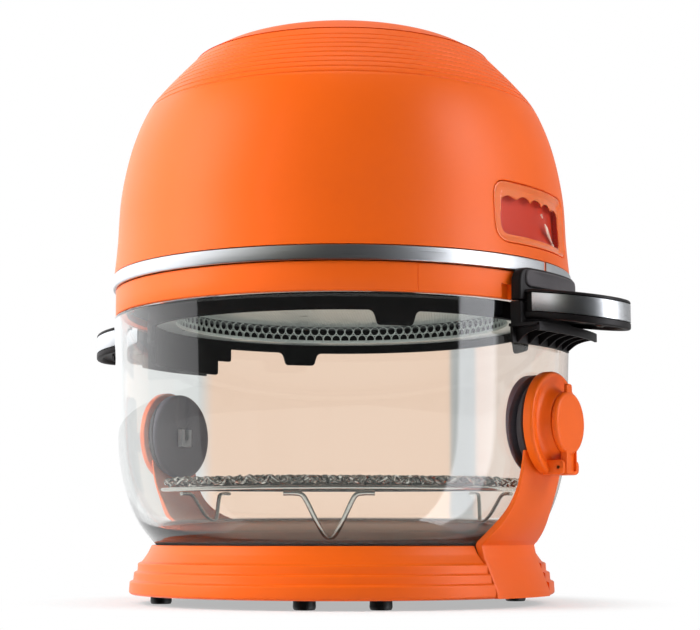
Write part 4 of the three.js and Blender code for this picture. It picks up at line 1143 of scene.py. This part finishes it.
# ---------------------------------------------------------------- display, vent and handles
def view_outline():
    """The dark window inside the frame: round lower corners, and a top edge of five lobes, each an arch."""
    across_x = np.linspace(-33.5, 33.5, 201)
    lobe = np.abs(np.sin((across_x + 33.5) / 67 * 5 * np.pi)) ** 0.55
    top = np.stack([across_x, 220.6 + 2.9 * lobe - 0.0016 * across_x**2], -1)[::-1]
    low = rounded([(-34.4, 213), (-34.4, 200.6), (34.4, 200.6), (34.4, 213)], [1, 13, 10, 1], 16)
    return resample(np.vstack([low, top]), 400)


def display_frame():
    """The frame: a pale bevel slopes down from the dome to a flat plate with a lobed opening."""
    outer = rectangle(-40.5, 40.5, 195.9, 229.5, 9.6, 400)
    plate = shrink(outer, 3.2)
    view = matched(view_outline(), outer)
    rings = [(matched(shrink(outer, 0.6), outer), 7), (outer, 6.6), (outer, 0.7), (shrink(outer, 0.2), 0.35),
             (shrink(outer, 0.6), 0.25), (shrink(outer, 0.9), 0.35), (shrink(outer, 2.9), 1.9), (plate, 2)]
    rings += [(plate + (view - plate) * t, 2) for t in (0.33, 0.66, 0.99)]
    rings += [(view, 2.05), (view, 2.5), (plate + (view - plate) * 0.9, 2.6), (plate, 2.6), (plate, 7)]
    return layers(rings, on_dome, ring_shaped=True)


def needle_pieces(start):
    """The pointer: a thin waist, an arrow head and a round hub, flat in the plane of its own azimuth. From a
    start past the pointer's tip, only a short tick of the scale."""
    lean = math.radians(64)
    half = [(start, 0.85), (15.4, 0.42), (15.1, 1.95), (18, 1.5), (22.9, 0.25)]
    if start > 0:
        half = [(start, 0.35), (start + 3.2, 0.35)]
    flat = np.array(half + [(length, -width) for length, width in half[::-1]])[::-1]
    outline = np.stack([-flat[:, 0] * math.sin(lean) + flat[:, 1] * math.cos(lean),
                        flat[:, 0] * math.cos(lean) + flat[:, 1] * math.sin(lean)], -1) + [0, NEEDLE_HEIGHT]
    centre = outline.mean(0) if start > 0 else (0, NEEDLE_HEIGHT)
    parts = [slab(resample(outline, 120), 127.9, 128.4, 0.12, in_front, centre=centre, fill=4)]
    if start < 0:
        parts.append(about_spit(rounded([
            (0, 128.4), (1.8, 128.4), (1.8, 127.9), (0.9, 127.9), (0.9, 124.6), (0, 124.6),
        ], 0.2, 3), 32, height=NEEDLE_HEIGHT))
    return [(points @ turn_matrix(NEEDLE_AZIMUTH), blocks) for points, blocks in parts]


class FRYER_OT_display(Operator):
    """Builds the temperature display: frame, card, needle and clear lens"""

    bl_idname = "fryer.display"
    bl_label = "Display"

    def execute(self, context):
        look = finishes()
        piece("scalloped_frame", [display_frame()], look["frame"], "head", ["display_bezel"])
        outline = rectangle(-35.9, 35.9, 199.3, 225.2, 6.9, 160)
        card = slab(outline, 6.7, 5.7, 0.2, on_dome, fill=12)
        inner = shrink(outline, 0.5)
        well = layers([(outline, 5.6), (outline, 2.7), (inner, 2.7), (inner, 5.6)], on_dome, ring_shaped=True)
        piece("printed_card", [card, well], look["card"], "head", ["display_face"])
        lens = slab(outline, 1.8, 0.9, 0.2, on_dome, fill=12)
        piece("clear_lens", [lens], look["lens"], "head", ["display_lens"])
        piece("arrow_needle", needle_pieces(-2), look["ink"], "needle", ["needle"])
        piece("scale_tick", needle_pieces(29), look["ink"], "head")
        return {"FINISHED"}


def handle_face(low, high, corners):
    """The outline of a handle block as seen from the front."""
    return resample(soft_rectangle(-HANDLE_HALF_WIDTH, HANDLE_HALF_WIDTH, low, high, corners, 12), 260)


def pad_outline(grown):
    """The thumb pad's outline, grown by a distance: a bar with round ends."""
    half, tall = PAD_HALF_WIDTH + grown, PAD_HALF_HEIGHT + grown
    return rectangle(-half, half, PAD_HEIGHT - tall, PAD_HEIGHT + tall, tall * 0.98, 260)


def upper_block():
    """The block above the parting line, wrapped on the ring, with a pocket for the thumb pad."""
    face = handle_face(PARTING + 0.2, HANDLE_HIGH, [1, 1, 11, 11])
    pocket = matched(pad_outline(0.35), face)
    rings = [(toward(shrink(face, 0.5), t), 135.4) for t in np.linspace(0, 1, 9)]
    rings += [(face, 135.9)]
    rings += [(shrink(face, 1.3 * (1 - np.cos(q))), 141 - 1.3 * (1 - np.sin(q))) for q in QUARTER]
    rings += [(shrink(face, 1.3) + (pocket - shrink(face, 1.3)) * t, 141) for t in (0.25, 0.5, 0.75, 0.97)]
    rings += [(pocket, 140.8), (pocket, 137.1)]
    rings += [(toward(pocket, t), 136.9) for t in np.linspace(0.9, 0, 9)]
    return layers(rings, on_wall)


def paddle_outline(inset):
    """The paddle in plan, anticlockwise: a root that follows the ring, straight sides and a round end."""
    half = PADDLE_HALF_WIDTH - inset
    x = np.linspace(half, -half, 60)
    root = np.stack([x, np.sqrt((136.4 + inset * 0.2) ** 2 - x**2)], -1)
    a = np.linspace(np.pi, 0, 90)
    middle = PADDLE_REACH - PADDLE_HALF_WIDTH
    end = np.stack([half * np.cos(a), middle + half * np.sin(a)], -1)
    side = np.linspace(root[-1], end[0], 14)[1:-1]
    return np.vstack([root, side, end, (side * [-1, 1])[::-1]])[::-1]


def paddle():
    """The paddle: a rounded plate with a groove round it for the bright band and a dish with a rim below."""
    low, high = PADDLE_LOW, 167.5
    dish = [(3.2, low), (4, low + 0.5), (4.6, low + 1.6), (6, low + 2)]
    rings = [(toward(paddle_outline(6), t), low + 2) for t in np.linspace(0, 1, 9)]
    rings += [(paddle_outline(inset), z) for inset, z in dish[::-1]]
    rings += [(paddle_outline(1.4 * (1 - np.sin(q))), low + 1.4 * (1 - np.cos(q))) for q in QUARTER]
    rings += [(paddle_outline(inset), z) for inset, z in (
        (0, TRIM_LOW - 0.6), (0.3, TRIM_LOW - 0.3), (1.7, TRIM_LOW - 0.3), (1.7, TRIM_HIGH + 0.3),
        (0.2, TRIM_HIGH + 0.3), (0, TRIM_HIGH + 0.5),
    )]
    rings += [(paddle_outline(1.2 * (1 - np.cos(q))), high - 1.2 * (1 - np.sin(q))) for q in QUARTER]
    rings += [(toward(paddle_outline(1.2), t), high) for t in np.linspace(1, 0, 9)[1:]]
    return layers(rings, in_plan)


def sloped(part):
    """A paddle's part with its height lowered in step with its reach, past the block that it comes out of."""
    points, blocks = part
    return points + np.stack([0, 0, 1]) * (2.2 - 0.132 * np.maximum(-points[:, 1:2] - 142, 0)), blocks


def paddle_band():
    """The bright band round the paddle's edge: a soft-edged strip that follows the outline."""
    inset, z = soft_rectangle(0, 1.4, TRIM_LOW, TRIM_HIGH, [0.35, 0.1, 0.1, 0.35], 4).T
    half = PADDLE_HALF_WIDTH - inset
    a = np.linspace(np.pi, 0, 100)[:, None]
    middle = PADDLE_REACH - PADDLE_HALF_WIDTH
    start = np.sqrt(TRIM_START**2 - half**2)
    t = np.linspace(0, 1, 12)[:-1, None]
    y_side = start + (middle - start) * t
    x = np.vstack([-half + 0 * t, half * np.cos(a), half + 0 * t])
    y = np.vstack([y_side, middle + half * np.sin(a), y_side[::-1]])
    return grid(x, -y, z + 0 * x, wrap=(False, True), capped=True)


def wrapped_bar(r0, r1, z0, z1, soft, half):
    """A bar with a rectangular section, wrapped round the upright axis between two x values."""
    r, z = soft_rectangle(r0, r1, z0, z1, soft, 4).T
    x = half * np.linspace(-1, 1, 50)[:, None] * np.ones(len(r))
    return grid(*on_wall(x, z + 0 * x, r + 0 * x), wrap=(False, True), capped=True)


def lip():
    """The lower half: the block under the parting line, a hanging wall, a shelf with a rail along its edge,
    and seven hollow-curved webs between the wall and the rail."""
    block = slab(handle_face(149.8, PARTING - 0.2, [1, 1, 0.6, 0.6]), 134.8, 140.9, 0.8, on_wall, fill=9)
    wall = wrapped_bar(134.8, 136.3, LIP_LOW, 150.2, 0.4, HANDLE_HALF_WIDTH)
    shelf = wrapped_bar(135, LIP_REACH - 0.1, 149.4, 151.1, 0.4, LIP_HALF_WIDTH - 0.1)
    rail = wrapped_bar(LIP_REACH - 1.7, LIP_REACH - 0.1, 146.3, 150.5, 0.35, LIP_HALF_WIDTH - 0.1)
    web = resample(rounded([
        (-LIP_REACH + 0.8, 149.6), (-LIP_REACH + 0.8, 147.4), (-148.4, 147), (-144.6, 146.2), (-141, 144.8),
        (-138.2, 142.6), (-136.8, 141.4), (-135.7, 141.4), (-135.7, 149.6),
    ], [0.1, 0.3, 2, 2, 2, 2, 0.4, 0.1, 0.1], 5), 90)
    webs = []
    for number in range(-3, 4):
        points, blocks = slab(web, -0.65, 0.65, 0.2, from_side, fill=3)
        webs.append((points @ turn_matrix(WEB_STEP * number), blocks))
    return [block, wall, shelf, rail, *webs]


def screw(x, y, z):
    """A pan-head screw with a round recess, seen from below."""
    head = turned([(0, 0.5), (2.6, 0.5), (2.6, -0.3), (1.9, -0.9), (1, -1.15), (0.9, -0.6), (0, -0.6)], 28,
                  closed=False)
    return head[0] + [x, y, z], head[1]


class FRYER_OT_handles(Operator):
    """Builds both handles: blocks, paddles, bright bands, thumb pads, lips and screws"""

    bl_idname = "fryer.handles"
    bl_label = "Handles"

    def execute(self, context):
        look = finishes()
        for end, turn in ENDS:
            boss = slab(rectangle(-28, 28, 166, 179.4, 2), 133.5, 136.2, 0.3, on_wall, fill=6)
            piece(f"{end}_grip", [upper_block(), sloped(paddle()), boss], look["black"], "head",
                  [f"{end}_handle"], turn)
            piece(f"{end}_lip", lip(), look["black"], "head", [f"{end}_handle_lip"], turn)
            piece(f"{end}_band", [sloped(paddle_band())], look["trim"], "head", [f"{end}_handle_trim"],
                  turn)
            pad = slab(pad_outline(0), 138.9, 142, 0.8, on_wall, fill=12, rise=-0.7)
            piece(f"{end}_soft_pad", [pad], look["pad"], f"{end}_pad", [f"{end}_thumb_pad"],
                  turn)
            screws = [sloped(screw(x, -162, PADDLE_LOW + 1.6)) for x in (-11, 11)]
            piece(f"{end}_handle_screws", screws, look["element"], "head", turn=turn)
        return {"FINISHED"}


class FRYER_OT_vent(Operator):
    """Builds the louvred vent in the back of the dome"""

    bl_idname = "fryer.vent"
    bl_label = "Rear vent"

    def execute(self, context):
        outer = rectangle(-37.5, 37.5, 227.5, 258.5, 5.6, 200)
        inner = matched(rectangle(-32.4, 32.4, 231.4, 255.2, 2, 200), outer)
        frame_rings = [(outer, 3.1), (outer, 0.7), (shrink(outer, 0.5), 0.25), (inner, 0.3), (inner, 3.1)]
        bars = [
            slab(rectangle(-32.6, 32.6, low, low + 3.2, 1.2, 90), 3.0, 0.8, 0.6, on_dome, fill=4)
            for low in 233.2 + 5.7 * np.arange(4)
        ]
        piece("louvred_vent", [layers(frame_rings, on_dome, ring_shaped=True), *bars], finishes()["shell"],
              "head", ["rear_vent"], 180)
        return {"FINISHED"}


# ---------------------------------------------------------------- stage
CAMERA_AZIMUTH = -56.5
CAMERA_TILT = 7.22
CAMERA_PLACE = (-0.84672, -0.56607, 0.0394)
CAMERA_LENS = 88.93


def around(angle, distance, height):
    """A place at an angle to the right of the camera's side, a distance in metres from the upright axis."""
    a = np.radians(CAMERA_AZIMUTH + angle)
    return np.stack(np.broadcast_arrays(np.sin(a) * distance, -np.cos(a) * distance, height), -1)


def glow(name, stops):
    """A plain glow. Its colour runs through stops, each an angle of the card and a linear colour."""
    made = bpy.data.materials.new(name)
    made.use_nodes = True
    tree = made.node_tree
    tree.nodes.clear()
    angle = add_node(tree, "ShaderNodeAttribute", attribute_name="angle").outputs["Fac"]
    low, high = stops[0][0], stops[-1][0]
    share = add_node(tree, "ShaderNodeMapRange", {"Value": angle, "From Min": low, "From Max": high})
    ramp = add_node(tree, "ShaderNodeValToRGB", {"Fac": share.outputs["Result"]})
    brightest = max(max(colour) for _, colour in stops)
    for number, (at, colour) in enumerate(stops):
        place = (at - low) / (high - low)
        stop = ramp.color_ramp.elements[number] if number < 2 else ramp.color_ramp.elements.new(place)
        stop.position = place
        stop.color = (*(c / brightest for c in colour), 1)
    emit = add_node(tree, "ShaderNodeEmission", {"Color": ramp.outputs["Color"], "Strength": brightest})
    add_node(tree, "ShaderNodeOutputMaterial", {"Surface": emit.outputs[0]})
    return made


def staged(name, points, faces, material, seen_by=None):
    """An object of the stage, which all rays see, or only those of some kinds."""
    mesh = bpy.data.meshes.new(name)
    mesh.from_pydata(points.tolist(), [], faces.tolist())
    mesh.materials.append(material)
    made = bpy.data.objects.new(name, mesh)
    bpy.context.scene.collection.objects.link(made)
    if seen_by:
        for kind in ("camera", "diffuse", "glossy", "transmission", "volume_scatter", "shadow"):
            setattr(made, "visible_" + kind, kind in seen_by)
    return made


def card(name, centre, distance, low, high, stops, seen_by):
    """An upright sheet of light, arched round the axis, or round a centre of its own, from its first stop's
    angle to its last stop's. Each of its points keeps its angle as an attribute."""
    angles = np.linspace(stops[0][0], stops[-1][0], 90)
    points = around(angles, distance, np.array([[low], [high]])).reshape(-1, 3) + centre
    index = np.arange(180).reshape(2, 90)
    cells = np.stack([index[:-1, :-1], index[:-1, 1:], index[1:, 1:], index[1:, :-1]], -1).reshape(-1, 4)
    made = staged(name, points, cells, glow(name, stops), seen_by)
    spread = made.data.attributes.new("angle", "FLOAT", "POINT")
    spread.data.foreach_set("value", np.tile(angles, 2))


def soft_box(name, angle, distance, height, width, tall, power, tint=(1, 1, 1)):
    """A rectangular lamp that faces the object and leaves reflections to the cards."""
    lamp = bpy.data.lights.new(name, "AREA")
    lamp.shape = "RECTANGLE"
    lamp.size, lamp.size_y, lamp.energy, lamp.color = width, tall, power, tint
    made = bpy.data.objects.new(name, lamp)
    bpy.context.scene.collection.objects.link(made)
    made.location = around(angle, distance, height)
    aim = Vector((0, 0, 0.17)) - made.location
    made.rotation_euler = aim.to_track_quat("-Z", "Y").to_euler()
    made.visible_glossy = made.visible_transmission = False


def floor_material():
    """White seamless paper: it takes the object's soft shadow near the base and glows to pure white away from
    it, but only where it is looked at, so that it throws no more light on the object."""
    made, tree, shader, place = new_material("Seamless paper", linear("F4F4F4"), Roughness=0.9)
    far = add_node(tree, "ShaderNodeVectorMath", {0: place}, operation="LENGTH")
    rise = add_node(tree, "ShaderNodeMapRange", {
        "Value": far.outputs["Value"], "From Min": 0.12, "From Max": 0.2, "To Min": 0.45, "To Max": 1.0,
    }, interpolation_type="SMOOTHSTEP")
    rays = add_node(tree, "ShaderNodeLightPath")
    looked_at = add_node(tree, "ShaderNodeMath", {
        0: rays.outputs["Is Camera Ray"], 1: rays.outputs["Is Transmission Ray"],
    }, operation="MAXIMUM")
    share = add_node(tree, "ShaderNodeMath", {0: rise.outputs["Result"], 1: looked_at.outputs[0]},
                     operation="MULTIPLY")
    white = add_node(tree, "ShaderNodeEmission", {"Color": (1, 1, 1, 1), "Strength": 1.0})
    paper = add_node(tree, "ShaderNodeMixShader", {
        0: share.outputs[0], 1: shader.outputs[0], 2: white.outputs[0],
    })
    tree.links.new(paper.outputs[0], tree.nodes["Material Output"].inputs["Surface"])
    return made


def studio_world():
    """The room: pure white where it is looked at, dim white for the light it throws, and dark on the camera's
    side where it is reflected or seen through the glass."""
    world = bpy.data.worlds.new("Studio")
    world.use_nodes = True
    bpy.context.scene.world = world
    tree = world.node_tree
    tree.nodes.clear()
    place = add_node(tree, "ShaderNodeTexCoord").outputs["Generated"]
    behind = add_node(tree, "ShaderNodeVectorMath", {0: place, 1: tuple(-around(0, 1, 0))},
                      operation="DOT_PRODUCT")
    bright, through = (add_node(tree, "ShaderNodeMapRange", {
        "Value": behind.outputs["Value"], "From Min": low, "From Max": high, "To Min": dark, "To Max": light,
    }) for low, high, dark, light in ((-0.25, 0.75, 0.02, 0.5), (-0.3, 0.3, 0.12, 1.0)))
    rays = add_node(tree, "ShaderNodeLightPath")
    reflected = add_node(tree, "ShaderNodeMix", {
        "Factor": rays.outputs["Is Glossy Ray"], "A": 0.24, "B": bright.outputs["Result"],
    })
    bent = add_node(tree, "ShaderNodeMix", {
        "Factor": rays.outputs["Is Transmission Ray"], "A": reflected.outputs[0],
        "B": through.outputs["Result"],
    })
    strength = add_node(tree, "ShaderNodeMix", {
        "Factor": rays.outputs["Is Camera Ray"], "A": bent.outputs[0], "B": 1.0,
    })
    back = add_node(tree, "ShaderNodeBackground", {"Color": (1, 1, 1, 1), "Strength": strength.outputs[0]})
    add_node(tree, "ShaderNodeOutputWorld", {"Surface": back.outputs[0]})


class FRYER_OT_stage(Operator):
    """Builds the floor, the lamps, the reflector cards, the world and the camera"""

    bl_idname = "fryer.stage"
    bl_label = "Stage"

    def execute(self, context):
        reach = 3.0
        corners = np.array([(-reach, -reach, 0), (reach, -reach, 0), (reach, reach, 0), (-reach, reach, 0)])
        floor = staged("floor", corners, np.array([[0, 1, 2, 3]]), floor_material())
        floor.visible_glossy = False
        studio_world()
        grey, dim, white = (2.2, 2.2, 2.25), (1.1, 1.1, 1.12), (6.0, 6.1, 6.4)
        axis, dark = np.zeros(3), (0, 0, 0)
        card("high_left_card", axis, 1.3, 0.32, 1.4, [
            (-170, (1.2, 1.2, 1.2)), (-110, grey), (-66, grey), (-46, (1.1, 1.1, 1.05)),
            (-30, (0.25, 0.25, 0.2)), (-12, dark),
        ], ("glossy",))
        card("left_card", axis, 1.3, 0.15, 0.32, [
            (-170, (1.2, 1.2, 1.2)), (-110, grey), (-71, grey), (-70.2, dark),
        ], ("glossy",))
        card("low_left_card", axis, 1.3, -1.6, 0.15, [
            (-170, (1.2, 1.2, 1.2)), (-110, dim), (-71, dim), (-70.2, dark),
        ], ("glossy",))
        card("right_card", axis, 1.3, -1.6, 1.4, [
            (55, dark), (57, white), (76, white), (79, (1.0, 1.0, 1.0)), (105, (0.6, 0.6, 0.6)),
        ], ("glossy",))
        peach, strip = linear("FFDEC8"), linear("BFBFBF")
        backdrop = [
            (-14, linear("EEDDD4")), (-5.4, linear("EBD6CA")), (-4.65, linear("E8D0C4")), (-4.5, strip),
            (-3.75, strip), (-3.6, peach), (4.5, peach), (5, linear("E4E4E4")), (14, linear("E6E8E8")),
        ]
        camera_side = around(0, 1.02, 0)
        card("backdrop_card", camera_side, -1.25, -0.1, 0.4, backdrop, ("transmission",))
        soft_box("key_lamp", -76, 1.5, 0.8, 0.8, 1.4, 33)
        soft_box("fill_lamp", 72, 1.4, 0.95, 0.6, 1.0, 13)
        soft_box("top_lamp", 180, 0.1, 1.7, 0.8, 0.8, 8)
        camera = bpy.data.objects.new("camera", bpy.data.cameras.new("camera"))
        camera.data.lens = CAMERA_LENS
        camera.location = CAMERA_PLACE
        camera.rotation_euler = [math.radians(v) for v in (90 + CAMERA_TILT, 0, CAMERA_AZIMUTH)]
        context.scene.collection.objects.link(camera)
        context.scene.camera = camera
        context.scene.view_settings.view_transform = "Standard"
        return {"FINISHED"}


# ---------------------------------------------------------------- panel and start
OPERATORS = (
    FRYER_OT_base, FRYER_OT_arms, FRYER_OT_flip_cap, FRYER_OT_bowl, FRYER_OT_spit_holders, FRYER_OT_rack,
    FRYER_OT_head, FRYER_OT_guard, FRYER_OT_display, FRYER_OT_handles, FRYER_OT_vent, FRYER_OT_stage,
)


class FRYER_PT_panel(Panel):
    """Lists the sizes, the colours and the buttons that build each group of pieces"""

    bl_idname = "FRYER_PT_panel"
    bl_label = "Deep fryer"
    bl_space_type = "VIEW_3D"
    bl_region_type = "UI"
    bl_category = "Fryer"

    def draw(self, context):
        for settings in (context.scene.fryer_sizes, context.scene.fryer_finishes):
            for name in settings.bl_rna.properties.keys():
                if name not in ("rna_type", "name"):
                    self.layout.prop(settings, name)
        for operator in OPERATORS:
            self.layout.operator(operator.bl_idname)


CLASSES = (FryerSizes, FryerFinishes, *OPERATORS, FRYER_PT_panel)


def register():
    """Adds the add-on's classes and its settings."""
    for item in CLASSES:
        bpy.utils.register_class(item)
    bpy.types.Scene.fryer_sizes = PointerProperty(type=FryerSizes)
    bpy.types.Scene.fryer_finishes = PointerProperty(type=FryerFinishes)


def unregister():
    """Takes the settings and the classes away again."""
    del bpy.types.Scene.fryer_finishes
    del bpy.types.Scene.fryer_sizes
    for item in reversed(CLASSES):
        bpy.utils.unregister_class(item)


def main():
    """Builds every piece and the stage."""
    register()
    for operator in OPERATORS:
        group, name = operator.bl_idname.split(".")
        if getattr(getattr(bpy.ops, group), name)() != {"FINISHED"}:
            raise RuntimeError(f"{operator.bl_label} wasn't built")


if __name__ == "__main__":
    main()
